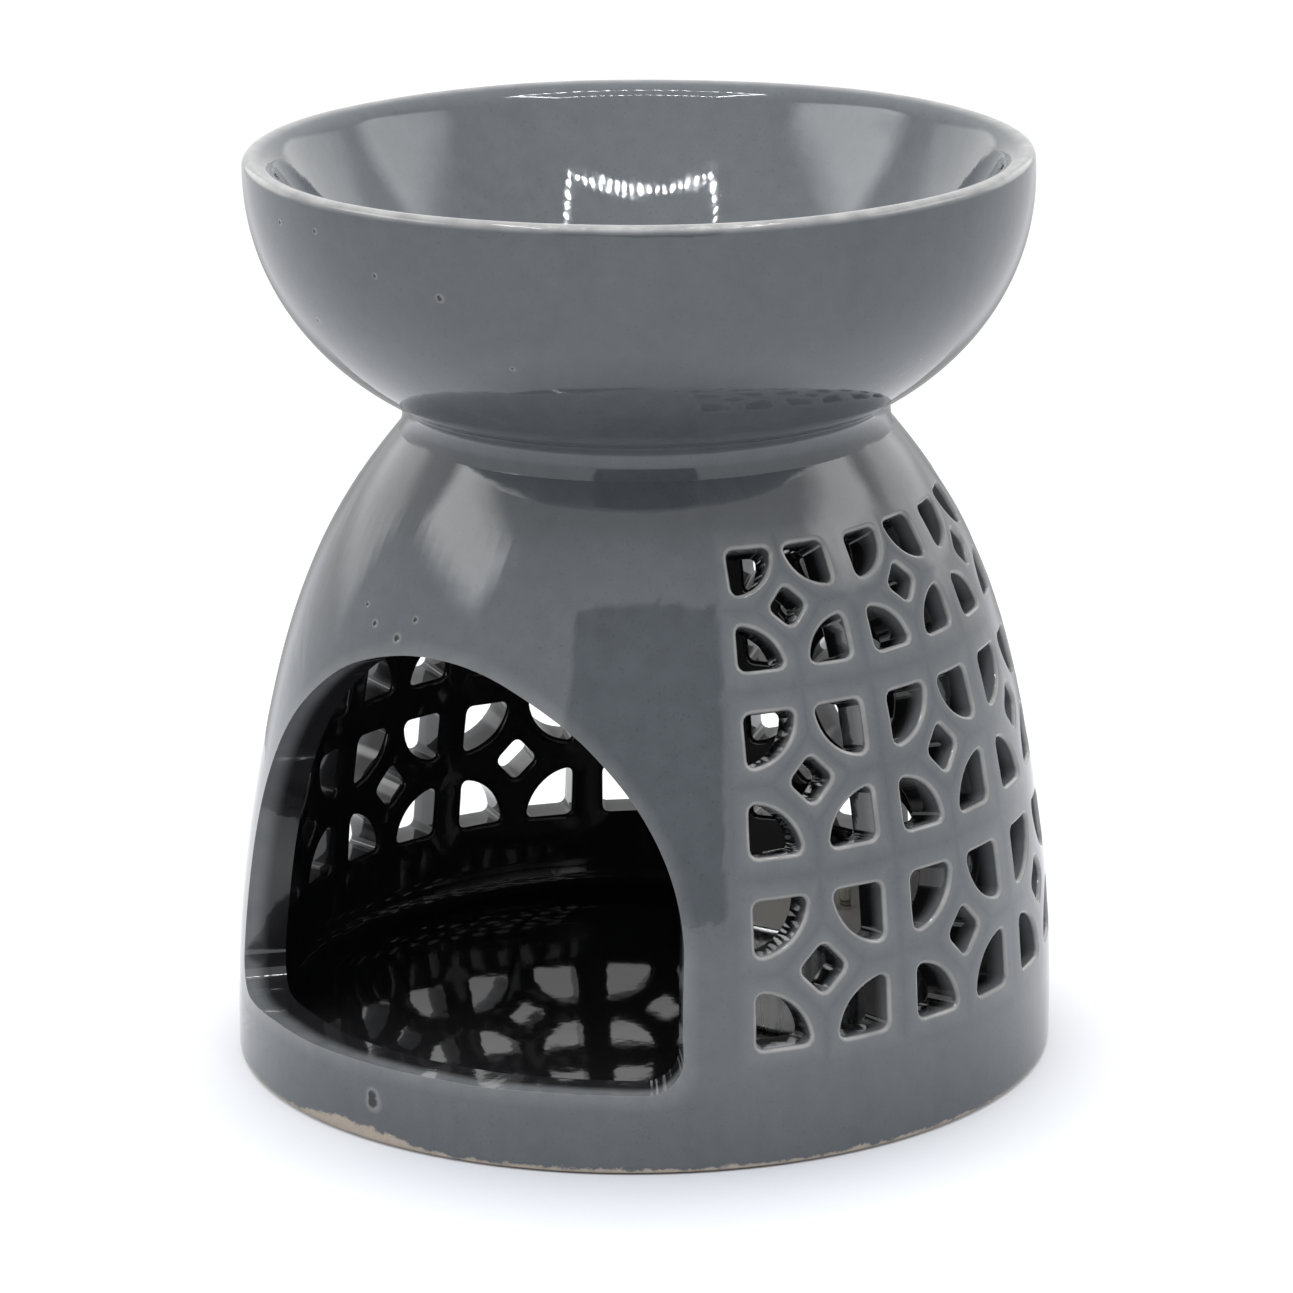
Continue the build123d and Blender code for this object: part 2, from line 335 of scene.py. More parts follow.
def line_to(bm, vert, radius, height, steps=1):
    """Draws a straight run of a turned profile from a vertex to a radius and height."""
    start = vert.co.copy()
    end = Vector((radius, 0, height))
    for step in range(1, steps + 1):
        vert = bmesh.ops.extrude_vert_indiv(bm, verts=[vert])["verts"][0]
        vert.co = start.lerp(end, step / steps)
    return vert


def turn_profile(bm, steps, place=(0, 0, 0)):
    """Spins a profile into a closed turned form about the upright axis and moves it to its place."""
    bmesh.ops.spin(
        bm, geom=bm.verts[:] + bm.edges[:], cent=(0, 0, 0), axis=(0, 0, 1), angle=2 * math.pi, steps=steps,
        use_merge=True,
    )
    bmesh.ops.remove_doubles(bm, verts=bm.verts[:], dist=HAIR)
    bmesh.ops.recalc_face_normals(bm, faces=bm.faces[:])
    if bm.calc_volume(signed=True) < 0:
        bmesh.ops.reverse_faces(bm, faces=bm.faces[:])
    bmesh.ops.translate(bm, verts=bm.verts[:], vec=place)


def lean_over(bm, wall, bowl):
    """Leans a piece to one side up to the crown and back again towards the rim, as a handmade pot does."""
    side = turned_point(wall.lean_bearing, wall.lean, 0)
    for vert in bm.verts:
        up = vert.co.z / wall.crown_height - 0.5
        back = (vert.co.z - wall.crown_height) / (bowl.rim_height - wall.crown_height)
        vert.co += side * min(up, 0.5 - LEAN_BACK * back)


def swell(vert, reach):
    """Moves a vertex out from the axis."""
    grown = 1 + reach / math.hypot(vert.co.x, vert.co.y)
    vert.co.x *= grown
    vert.co.y *= grown


def new_object(bm, name, material):
    """Makes a mesh an object of the scene, with one material."""
    mesh = bpy.data.meshes.new(name)
    bm.to_mesh(mesh)
    bm.free()
    mesh.materials.append(material)
    made = bpy.data.objects.new(name, mesh)
    bpy.context.scene.collection.objects.link(made)
    return made


def finish_piece(bm, name, material, body, node, even_normals=False):
    """Makes the mesh a smooth object of the burner that stands for a node and rides on its body."""
    piece = new_object(bm, name, material)
    piece.data.polygons.foreach_set("use_smooth", [True] * len(piece.data.polygons))
    if even_normals:
        piece.modifiers.new("Even normals", "WEIGHTED_NORMAL")
    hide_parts(node)
    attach(piece, body)


# Steps along a trellis patch and round its holes, along the panel round the doorway, and over rounded edges
TOP_STEPS, SIDE_STEPS, SPINE_STEPS, SLOPE_STEPS, WAIST_STEPS = 6, 6, 4, 6, 4
QUARTER_ARC_STEPS, HOLE_CORNER_STEPS, HOLE_SIDE_CUTS = 11, 3, 2
PANEL_STEPS, OVER_STEPS = 36, 4
DOOR_ARCH_STEPS, DOOR_JAMB_STEPS, DOOR_CORNER_STEPS, DOOR_RINGS = 80, 10, 14, 5
HOLE_EDGE_STEPS, DOOR_EDGE_STEPS, FOOT_EDGE_STEPS = 3, 5, 3

# Plain strips of the sheet: round the doorway, over the ground and over the floor
DOOR_BORDER, GROUND_STRIP, FLOOR_STRIP = 2.2 * MM, 1.2 * MM, 0.5 * MM

# How far a hole's outline is lifted while the sheet round it is filled
LIFT = 1 * MM

# The hand's wobble: how often it changes along the wall, per metre, its stop under the crown, and its seed
WOBBLE_SCALE, WOBBLE_STOP, WOBBLE_SEED = 110, 1 * MM, 7

# Marks of the vertices at the edge of a hole and of the doorway
HOLE_EDGE, DOOR_EDGE = 1, 2

# How much the glaze thins and a highlight is painted over the holes' and the doorway's edges, and the share
# of that at their borders
HOLE_PALE_AND_HIGHLIGHT, DOOR_PALE_AND_HIGHLIGHT, BORDER_PALE_AND_HIGHLIGHT_SHARE = 1, 1.5, 0.2

# The doorway's frame: how deep into the wall it stays grey, free of the painted shade, as a share, and how
# far round the doorway it reaches
FRAME_DEPTH, FRAME_SLACK = 0.8, 0.6 * MM

# Where the wall starts to swell out, and how far under the crown it stops
SWELL_FOOT, SWELL_STOP = 34 * MM, 2 * MM

# The foot is rounded where its faces meet at more than this angle, in radians
SHARP_FOOT = 1

# The chamber's floor: the hollow round its edge, how far it is tucked into the wall, and its steps
COVE, TUCK = 2 * MM, 0.3 * MM
FLOOR_STEPS, COVE_STEPS, RECESS_STEPS, FLOOR_SIDES = 10, 6, 4, 128


def closed_outline(bm, points, cuts):
    """Closed outline in the flat sheet, each side cut into a number of steps; returns its edges."""
    before = set(bm.edges)
    for (start, end), steps in zip(zip(points, points[1:] + points[:1]), cuts):
        side = bm.edges.new((bm.verts.new((*start, 0)), bm.verts.new((*end, 0))))
        if steps > 1:
            bmesh.ops.subdivide_edges(bm, edges=[side], cuts=steps - 1)
    bmesh.ops.remove_doubles(bm, verts=ends_of(drawn_since(bm, before)), dist=HAIR)
    return drawn_since(bm, before)


def round_corners(bm, before, corners, offset, steps):
    """Rounds corners of the outline that was drawn after a set of edges; returns its edges, longest last."""
    bmesh.ops.bevel(
        bm, geom=corners, offset=offset, offset_type="OFFSET", segments=steps, profile=0.5, affect="VERTICES",
        material=-1,
    )
    return sorted(drawn_since(bm, before), key=lambda e: e.calc_length())


def rounded_hole(bm, kind, wall, before, corners, sides):
    """Rounds the corners of a hole that was drawn after a set of edges, cuts its sides and marks its edge."""
    hole = round_corners(bm, before, corners, wall.hole_corner, HOLE_CORNER_STEPS)
    bmesh.ops.subdivide_edges(bm, edges=hole[-sides:], cuts=HOLE_SIDE_CUTS)
    hole = drawn_since(bm, before)
    for vert in ends_of(hole):
        vert[kind] = HOLE_EDGE
    return hole


def lifted_bridge(bm, inner, outer):
    """Fills the sheet between a hole's outline and the outline round it."""
    rim = ends_of(inner)
    for vert in rim:
        vert.co.z = LIFT
    made = bmesh.ops.bridge_loops(bm, edges=inner + outer)
    for vert in rim:
        vert.co.z = 0
    return made


def quarter_patch(bm, kind, wall, curve, centre, half_height, level):
    """One quarter of a trellis cell: the sheet from its diamond out to the next cells, round its hole."""
    cell = wall.cell_angle / 2 * curve.foot
    edge = wall.column_angle / 2 * curve.foot
    slope = slope_reach(wall, curve, centre, half_height)
    reach = wall.quarter_share * (cell_width(wall, curve, centre) + 2 * half_height) / 2
    hole_rise = centre + level * (half_height - reach / 2)
    stretch = curve.foot / curve.profile(hole_rise).x
    start = bm.verts.new((-reach, 0, 0))
    before = set(bm.edges)
    made = bmesh.ops.spin(
        bm, geom=[start], cent=(0, 0, 0), axis=(0, 0, 1), angle=math.pi / 2, steps=QUARTER_ARC_STEPS
    )
    end = verts_of(made["geom_last"])[0]
    corner = bm.verts.new((0, 0, 0))
    bm.edges.new((end, corner))
    bm.edges.new((corner, start))
    hole = rounded_hole(bm, kind, wall, before, [start, end, corner], 2)
    rim = ends_of(hole)
    bmesh.ops.scale(bm, verts=rim, vec=(stretch, level, 1))
    bmesh.ops.translate(bm, verts=rim, vec=(cell, centre + level * half_height, 0))
    far = centre + level * (half_height + wall.row_gap / 2)
    points = [(0, centre + level * slope[1]), (0, far), (edge, far), (edge, centre), (slope[0], centre)]
    outline = closed_outline(bm, points, (SPINE_STEPS, TOP_STEPS, SIDE_STEPS, WAIST_STEPS, SLOPE_STEPS))
    lifted_bridge(bm, hole, outline)


def cell_width(wall, curve, centre):
    """Width of a trellis cell along the wall."""
    return curve.profile(centre).x * wall.cell_angle


def diamond_patch(bm, kind, wall, curve, centre, half_height):
    """Middle of a trellis cell: a diamond of the sheet round its diamond hole."""
    slope = slope_reach(wall, curve, centre, half_height)
    across = curve.foot * wall.cell_angle * wall.diamond_share / 2
    up = half_height * wall.diamond_share
    points = [(across, centre), (0, centre + up), (-across, centre), (0, centre - up)]
    before = set(bm.edges)
    corners = ends_of(closed_outline(bm, points, (1, 1, 1, 1)))
    hole = rounded_hole(bm, kind, wall, before, corners, len(corners))
    points = [(slope[0], centre), (0, centre + slope[1]), (-slope[0], centre), (0, centre - slope[1])]
    outline = closed_outline(bm, points, (SLOPE_STEPS,) * 4)
    lifted_bridge(bm, hole, outline)


def slope_reach(wall, curve, centre, half_height):
    """Half diagonals of the diamond of sheet midway between a cell's middle hole and its quarters."""
    half_width = cell_width(wall, curve, centre) / 2
    reach = wall.quarter_share * (half_width + half_height)
    hole = wall.diamond_share / math.hypot(1 / half_width, 1 / half_height)
    gap = math.hypot(half_width, half_height) - reach
    scale = (hole + gap) / 2 / hole * wall.diamond_share
    return scale * half_width * curve.foot / curve.profile(centre).x, scale * half_height


def plain_band(bm, left, right, steps, levels):
    """Plain strips of the sheet between two sides, one for each pair of levels."""
    for low, high in zip(levels, levels[1:]):
        place = Matrix.Translation(((left + right) / 2, (low + high) / 2, 0))
        size = Matrix.Diagonal((right - left, high - low, 1, 1))
        bmesh.ops.create_grid(bm, x_segments=steps, y_segments=1, size=0.5, matrix=place @ size)


def row_middles(wall):
    """Middle of each trellis row up the wall and half its height."""
    foot = wall.trellis_foot
    rows = []
    for height in wall.row_heights:
        rows.append((foot + height / 2, height / 2))
        foot += height + wall.row_gap
    return rows


def band_levels(wall, curve):
    """Levels of the plain strips under and over the trellis."""
    rows = row_middles(wall)
    low = rows[0][0] - rows[0][1] - wall.row_gap / 2
    high = rows[-1][0] + rows[-1][1] + wall.row_gap / 2
    ground = -curve.floor
    under = [ground, ground + GROUND_STRIP, FLOOR_STRIP, (low + FLOOR_STRIP) / 2, low]
    over = [high + (curve.top - high) * step / OVER_STEPS for step in range(OVER_STEPS + 1)]
    return under, over


def trellis_sheet(wall, curve):
    """All the trellis columns: half of one, mirrored, laid on the wall and turned round it."""
    bm = bmesh.new()
    kind = bm.verts.layers.int.new("edge_kind")
    rows = row_middles(wall)
    for centre, half_height in rows:
        for level in (-1, 1):
            quarter_patch(bm, kind, wall, curve, centre, half_height, level)
    bmesh.ops.mirror(bm, geom=bm.verts[:] + bm.edges[:] + bm.faces[:], axis="X", merge_dist=HAIR)
    for centre, half_height in rows:
        diamond_patch(bm, kind, wall, curve, centre, half_height)
    edge = wall.column_angle / 2 * curve.foot
    for levels in band_levels(wall, curve):
        plain_band(bm, -edge, edge, 2 * TOP_STEPS, levels)
    bmesh.ops.remove_doubles(bm, verts=bm.verts[:], dist=HAIR)
    middle = (wall.first_bearing + wall.cell_angle / 2) * curve.foot
    for vert in bm.verts:
        vert.co = curve.place(vert.co.x + middle, vert.co.y)
    bmesh.ops.spin(
        bm, geom=bm.verts[:] + bm.edges[:] + bm.faces[:], cent=(0, 0, 0), axis=(0, 0, 1),
        angle=wall.column_angle * (wall.columns - 1), steps=wall.columns - 1, use_duplicate=True,
    )
    return bm


def door_outline(bm, wall, curve):
    """Outline of the doorway across and up: a sill with rounded corners, jambs and a round arch."""
    half = wall.door_half_angle * curve.foot
    before = set(bm.edges)
    start = bm.verts.new((1, 0, 0))
    made = bmesh.ops.spin(
        bm, geom=[start], cent=(0, 0, 0), axis=(0, 0, 1), angle=math.pi, steps=DOOR_ARCH_STEPS
    )
    end = verts_of(made["geom_last"])[0]
    arch = ends_of(drawn_since(bm, before))
    bmesh.ops.scale(bm, verts=arch, vec=(half, wall.door_crown - wall.door_spring, 1))
    bmesh.ops.translate(bm, verts=arch, vec=(0, wall.door_spring, 0))
    corners = [bm.verts.new((-half, wall.door_sill, 0)), bm.verts.new((half, wall.door_sill, 0))]
    for side in ((end, corners[0]), corners, (corners[1], start)):
        bm.edges.new(side)
    outline = round_corners(bm, before, corners, wall.door_corner, DOOR_CORNER_STEPS)
    sill, jambs = outline[-1:], outline[-3:-1]
    bmesh.ops.subdivide_edges(bm, edges=sill, cuts=PANEL_STEPS - 1)
    bmesh.ops.subdivide_edges(bm, edges=jambs, cuts=DOOR_JAMB_STEPS - 1)
    return drawn_since(bm, before)


def door_panel(wall, curve):
    """The plain part of the sheet round the doorway, from the last trellis column to the first."""
    bm = bmesh.new()
    kind = bm.verts.layers.int.new("edge_kind")
    outline = door_outline(bm, wall, curve)
    rim = ends_of(outline)
    for vert in rim:
        vert.co.y = curve.rise_at(vert.co.y)
    made = bmesh.ops.extrude_edge_only(bm, edges=outline)
    border = verts_of(made["geom"])
    for vert in rim:
        vert[kind] = DOOR_EDGE
    low = min(v.co.y for v in rim)
    high = max(v.co.y for v in rim)
    half = max(v.co.x for v in rim)
    middle = Vector((0, (low + high) / 2, 0))
    bmesh.ops.translate(bm, verts=border, vec=-middle)
    bmesh.ops.scale(bm, verts=border, vec=(1 + DOOR_BORDER / half, 1 + 2 * DOOR_BORDER / (high - low), 1))
    bmesh.ops.translate(bm, verts=border, vec=middle)
    border = set(border)
    border_edges = [e for e in edges_of(made["geom"]) if set(e.verts) <= border]
    right = (wall.first_bearing + (wall.cell_angle - wall.column_angle) / 2) * curve.foot
    left = right + (wall.column_angle * wall.columns - 2 * math.pi) * curve.foot
    under, over = band_levels(wall, curve)
    levels, steps = under[-3:], [1, 1]
    for centre, half_height in row_middles(wall):
        levels += [centre, centre + half_height + wall.row_gap / 2]
        steps += [SIDE_STEPS, SIDE_STEPS]
    points = [(right, y) for y in levels] + [(left, y) for y in reversed(levels)]
    sheet_edge = closed_outline(bm, points, steps + [PANEL_STEPS] + steps[::-1] + [PANEL_STEPS])
    made = lifted_bridge(bm, border_edges, sheet_edge)
    bmesh.ops.subdivide_edges(bm, edges=made["edges"], cuts=DOOR_RINGS)
    plain_band(bm, left, right, PANEL_STEPS, under[:3])
    plain_band(bm, left, right, PANEL_STEPS, over)
    for vert in bm.verts:
        vert.co = curve.place(vert.co.x, vert.co.y)
    return bm


def welded(*sheets):
    """Several sheets welded into one."""
    bm = bmesh.new()
    mesh = bpy.data.meshes.new("sheet")
    for sheet in sheets:
        sheet.to_mesh(mesh)
        bm.from_mesh(mesh)
        sheet.free()
    bpy.data.meshes.remove(mesh)
    bmesh.ops.remove_doubles(bm, verts=bm.verts[:], dist=2 * HAIR)
    return bm


def stray(bm, wall, curve):
    """Shifts the pattern along the wall by a little, unevenly, as cutting by hand leaves it."""
    noise.seed_set(WOBBLE_SEED)
    for vert in bm.verts:
        if curve.floor < vert.co.z < curve.crown - WOBBLE_STOP:
            drift = noise.noise_vector(vert.co * WOBBLE_SCALE) * wall.hand_wobble
            bearing = math.atan2(vert.co.x, -vert.co.y)
            vert.co = curve.place(bearing * curve.foot + drift.x, curve.rise_at(vert.co.z) + drift.y)


def round_edges(bm, thin_and_highlight, edges, offset, steps, pale_and_highlight):
    """Rounds edges of a piece and marks where the glaze thins over them and a highlight is painted on them.
    """
    made = bmesh.ops.bevel(
        bm, geom=edges, offset=offset, offset_type="OFFSET", segments=steps, profile=0.5, affect="EDGES",
        material=-1, loop_slide=False, clamp_overlap=True,
    )
    faces = set(made["faces"])
    for vert in made["verts"]:
        amid = all(f in faces for f in vert.link_faces)
        vert[thin_and_highlight] = pale_and_highlight if amid else pale_and_highlight * BORDER_PALE_AND_HIGHLIGHT_SHARE


def beside_door(wall, point):
    """Whether a point lies in the doorway's frame, which stays grey most of the way through the wall and only
    then takes the painted shade.
    """
    bearing = abs(math.atan2(point.x, -point.y))
    return (
        bearing < wall.door_half_angle + FRAME_SLACK / wall.foot_radius
        and wall.door_sill - FRAME_SLACK < point.z < wall.door_crown + FRAME_SLACK
    )


def pierced_wall(wall, bowl, material):
    """The domed wall with its doorway and its trellis, down to the foot ring, with all its edges rounded."""
    curve = WallCurve(wall)
    bm = welded(trellis_sheet(wall, curve), door_panel(wall, curve))
    thin_and_highlight, deep = glaze_layers(bm)
    kind = bm.verts.layers.int["edge_kind"]
    stray(bm, wall, curve)
    bmesh.ops.recalc_face_normals(bm, faces=bm.faces[:])
    outer = set(bm.verts)
    made = bmesh.ops.extrude_face_region(
        bm, geom=bm.faces[:] + bm.edges[:] + bm.verts[:], use_keep_orig=True
    )
    inner = set(verts_of(made["geom"]))
    for vert in inner:
        vert.co = curve.inside(vert.co, vert[kind] == DOOR_EDGE)
    bmesh.ops.recalc_face_normals(bm, faces=bm.faces[:])
    sides = [f for f in bm.faces if len(inner & set(f.verts)) == 2 and len(outer & set(f.verts)) == 2]
    rims = dict.fromkeys(e for f in sides for e in f.edges if set(e.verts) <= inner or set(e.verts) <= outer)
    for mark, offset, steps, pale_and_highlight in (
        (HOLE_EDGE, wall.hole_edge, HOLE_EDGE_STEPS, HOLE_PALE_AND_HIGHLIGHT),
        (DOOR_EDGE, wall.door_edge, DOOR_EDGE_STEPS, DOOR_PALE_AND_HIGHLIGHT),
    ):
        edges = [e for e in rims if e.is_valid and all(v[kind] == mark for v in e.verts)]
        round_edges(bm, thin_and_highlight, edges, offset, steps, pale_and_highlight)
    ground = [e for e in bm.edges if max(v.co.z for v in e.verts) < HAIR]
    foot = [e for e in ground if e.calc_face_angle(0) > SHARP_FOOT]
    round_edges(bm, thin_and_highlight, foot, wall.foot_round, FOOT_EDGE_STEPS, 0)
    for vert in bm.verts:
        # How deep a vertex lies sets the painted shade inside the wall and its holes
        depth = curve.depth(math.hypot(vert.co.x, vert.co.y), vert.co.z)
        if beside_door(wall, vert.co):
            depth = (depth - FRAME_DEPTH) / (1 - FRAME_DEPTH)
        vert[deep] = min(1, max(0, depth))
        over = (vert.co.z - SWELL_FOOT) / (curve.crown - SWELL_STOP - SWELL_FOOT)
        swell(vert, wall.fullness * math.sin(math.pi * min(1, max(0, over)) ** 2))
    lean_over(bm, wall, bowl)
    if not all(e.is_contiguous for e in bm.edges) or bm.calc_volume(signed=True) < 0:
        raise RuntimeError("The wall is not closed, or it is inside out")
    finish_piece(bm, "pierced_wall", material, "burner", "pierced_body", True)


def chamber_floor(wall, bowl, material):
    """Floor of the candle chamber, hollowed round its edge, and under it the roof of the foot's recess."""
    curve = WallCurve(wall)
    reach = curve.foot - curve.thickness
    bm = bmesh.new()
    deep = glaze_layers(bm)[1]
    vert = bm.verts.new((0, 0, curve.floor))
    vert = line_to(bm, vert, reach - COVE, curve.floor, FLOOR_STEPS)
    vert = arc_to(bm, vert, (reach - COVE, curve.floor + COVE), -math.pi / 2, COVE_STEPS)
    vert = line_to(bm, vert, reach + TUCK, curve.floor + COVE)
    vert = line_to(bm, vert, reach + TUCK, curve.foot_recess)
    line_to(bm, vert, 0, curve.foot_recess, RECESS_STEPS)
    turn_profile(bm, FLOOR_SIDES)
    for vert in bm.verts:
        # Painted shade on the chamber's floor, none on the roof of the foot's recess
        vert[deep] = 1 if vert.co.z > curve.floor / 2 else 0
    lean_over(bm, wall, bowl)
    finish_piece(bm, "chamber_floor", material, "burner", "base_slab", True)


# Steps of the bowl's profile from its underside over its lip to the middle of its hollow, and its sides
UNDER_STEPS, NECK_STEPS, BELLY_STEPS, LIP_OUT_STEPS, LIP_IN_STEPS = 6, 2, 28, 10, 14
HOLLOW_STEPS, MIDDLE_STEPS, BOWL_SIDES = 14, 8, 160

# Pale thin glaze and a painted highlight on the lip: how far in it reaches, and how fast it comes on
LIP_PALE_AND_HIGHLIGHT_REACH, LIP_PALE_AND_HIGHLIGHT_GAIN = 1.5 * MM, 1.3

# How far the rim waves up and down, and how often, per metre
RIM_WAVE, RIM_WAVE_SCALE = 0.25 * MM, 25

# How deep under the bowl's outer arc a vertex still counts as its outside
BOWL_SKIN = 1 * MM

# Seam: how far its ends sink in, how far it reaches behind and under the neck, and the pull of its two ends
SEAM_SUNK, SEAM_BEHIND, SEAM_UNDER = 0.06 * MM, 0.6 * MM, 1 * MM
SEAM_FOOT_SHARE, SEAM_TOP_SHARE, SEAM_STEPS = 0.35, 0.1, 16


class BowlCurve:
    """Outer face of the bowl: an arc from its neck up to its lip."""

    def __init__(self, wall, bowl):
        self.crown = wall.crown_height
        self.neck_radius = wall.foot_radius - wall.shoulder_draw_in - wall.crown_draw_in
        self.lip = bowl.rim_height - bowl.lip_outside
        rise = self.lip - self.crown - bowl.neck_rise
        run = bowl.radius - self.neck_radius
        self.bend = (rise**2 + run**2) / (2 * run)
        self.neck_angle = math.atan2(rise, self.bend - run)
        self.centre = Vector((bowl.radius - self.bend, self.lip))

    def point(self, angle, inset=0):
        """Radius and height at an angle down from the lip, set in from the outer face."""
        return self.centre + Vector((math.cos(angle), -math.sin(angle))) * (self.bend - inset)


def oil_bowl(wall, bowl, material):
    """The dish on the crown, turned in one piece, with a soft round lip that the glaze thins over and that
    carries a painted highlight.
    """
    curve = BowlCurve(wall, bowl)
    bm = bmesh.new()
    thin_and_highlight, deep = glaze_layers(bm)
    vert = bm.verts.new((0, 0, curve.crown))
    vert = line_to(bm, vert, curve.neck_radius, curve.crown, UNDER_STEPS)
    vert = line_to(bm, vert, *curve.point(curve.neck_angle), NECK_STEPS)
    vert = arc_to(bm, vert, curve.centre, -curve.neck_angle, BELLY_STEPS)
    crest = bowl.radius - bowl.lip_outside
    vert = arc_to(bm, vert, (crest, curve.lip), -math.pi / 2, LIP_OUT_STEPS)
    inside = (crest, bowl.rim_height - bowl.lip_inside)
    vert = arc_to(bm, vert, inside, bowl.lip_slope - math.pi / 2, LIP_IN_STEPS)
    slopes = (bowl.lip_slope, bowl.side_slope, bowl.floor_slope)
    for slope, end, bend in zip(slopes, slopes[1:], (bowl.side_bend, bowl.floor_bend)):
        centre = (vert.co.x - bend * math.cos(slope), vert.co.z + bend * math.sin(slope))
        vert = arc_to(bm, vert, centre, end - slope, HOLLOW_STEPS)
    line_to(bm, vert, 0, vert.co.z - vert.co.x / math.tan(bowl.floor_slope), MIDDLE_STEPS)
    turn_profile(bm, BOWL_SIDES)
    for vert in bm.verts:
        radius = math.hypot(vert.co.x, vert.co.y)
        # Pale thin glaze and a painted highlight over the lip's top
        top = max(0, (vert.co.z - curve.lip) / bowl.lip_outside)
        inward = max(0, crest - radius) / LIP_PALE_AND_HIGHLIGHT_REACH
        vert[thin_and_highlight] = min(1, top * LIP_PALE_AND_HIGHLIGHT_GAIN) * max(0, 1 - inward)
        # Painted shade under the bowl, where it sits on the crown
        vert[deep] = 1 if vert.co.z < curve.crown + HAIR else 0
        drift = noise.noise(vert.co * RIM_WAVE_SCALE) * RIM_WAVE
        vert.co.z += drift * max(0, (vert.co.z - curve.crown) / (bowl.rim_height - curve.crown)) ** 2
        down = (curve.lip - vert.co.z) / (curve.lip - curve.crown - bowl.neck_rise)
        outside = (Vector((radius, vert.co.z)) - curve.centre).length > curve.bend - BOWL_SKIN
        if outside and 0 < down < 1 and radius > curve.neck_radius:
            swell(vert, bowl.fullness * math.sin(math.pi * down))
    lean_over(bm, wall, bowl)
    finish_piece(bm, "oil_bowl_dish", material, "burner", "oil_bowl")


def luting_seam(wall, bowl, material):
    """Hollow-faced ring of slip in the crease between the bowl's neck and the crown."""
    dome = WallCurve(wall)
    curve = BowlCurve(wall, bowl)
    reach = bowl.seam_reach / curve.bend
    foot = dome.profile(dome.top - bowl.seam_run, SEAM_SUNK)
    over_foot = dome.profile(dome.top - SEAM_FOOT_SHARE * bowl.seam_run)
    under_top = curve.point(curve.neck_angle - SEAM_TOP_SHARE * reach)
    top = curve.point(curve.neck_angle - reach, SEAM_SUNK)
    behind = curve.neck_radius - SEAM_BEHIND
    bm = bmesh.new()
    glaze_layers(bm)
    start = vert = bm.verts.new((foot.x, 0, foot.y))
    for spot in interpolate_bezier(foot, over_foot, under_top, top, SEAM_STEPS)[1:]:
        vert = line_to(bm, vert, spot.x, spot.y)
    vert = line_to(bm, vert, behind, top.y - SEAM_UNDER)
    vert = line_to(bm, vert, behind, foot.y + SEAM_BEHIND)
    bm.edges.new((vert, start))
    turn_profile(bm, BOWL_SIDES)
    lean_over(bm, wall, bowl)
    finish_piece(bm, "luting_ring", material, "burner", "luting_seam", True)


# Cup: the ring pressed up in its base, as shares of its radius, its pleats, and the steps along its side
PRESS_RISE, PRESS_INNER_SHARE, PRESS_OUTER_SHARE = 0.25 * MM, 0.55, 0.6
PLEAT_DEPTH, PLEAT_STOP, PLEAT_STEPS = 0.06 * MM, 1.2 * MM, 4
BASE_STEPS, CUP_STEPS, BEAD_STEPS = 3, 6, 12

# Wax: its gap to the cup, its rounded edge, its bore as a share of the wick, and its steps and sides
WAX_GAP, WAX_EDGE, WAX_BORE_SHARE = 0.12 * MM, 0.6 * MM, 0.9
WAX_SIDE_STEPS, WAX_EDGE_STEPS, WAX_TOP_STEPS, WAX_SIDES = 3, 5, 18, 96

# Top of the wax: its rise at the cup from a share of its radius, its sink round the wick's mound, its waves
WAX_CLING, WAX_CLING_SHARE, WAX_SINK, WAX_MOUND = 0.3 * MM, 0.55, 0.5 * MM, 3 * MM
WAX_WAVE, WAX_WAVE_SCALE, WAX_SKIN = 0.1 * MM, 160, 0.1 * MM

# Wick: its foot, the grooves between its strands as a share, its twist at each step and its tip
WICK_FOOT, WICK_STRANDS, WICK_GROOVE_SHARE = 0.8 * MM, 3, 0.14
WICK_SIDES, WICK_STEPS, WICK_TIP_STEPS, WICK_TAPER = 24, 36, 2, 0.8
WICK_TWIST = math.radians(14)


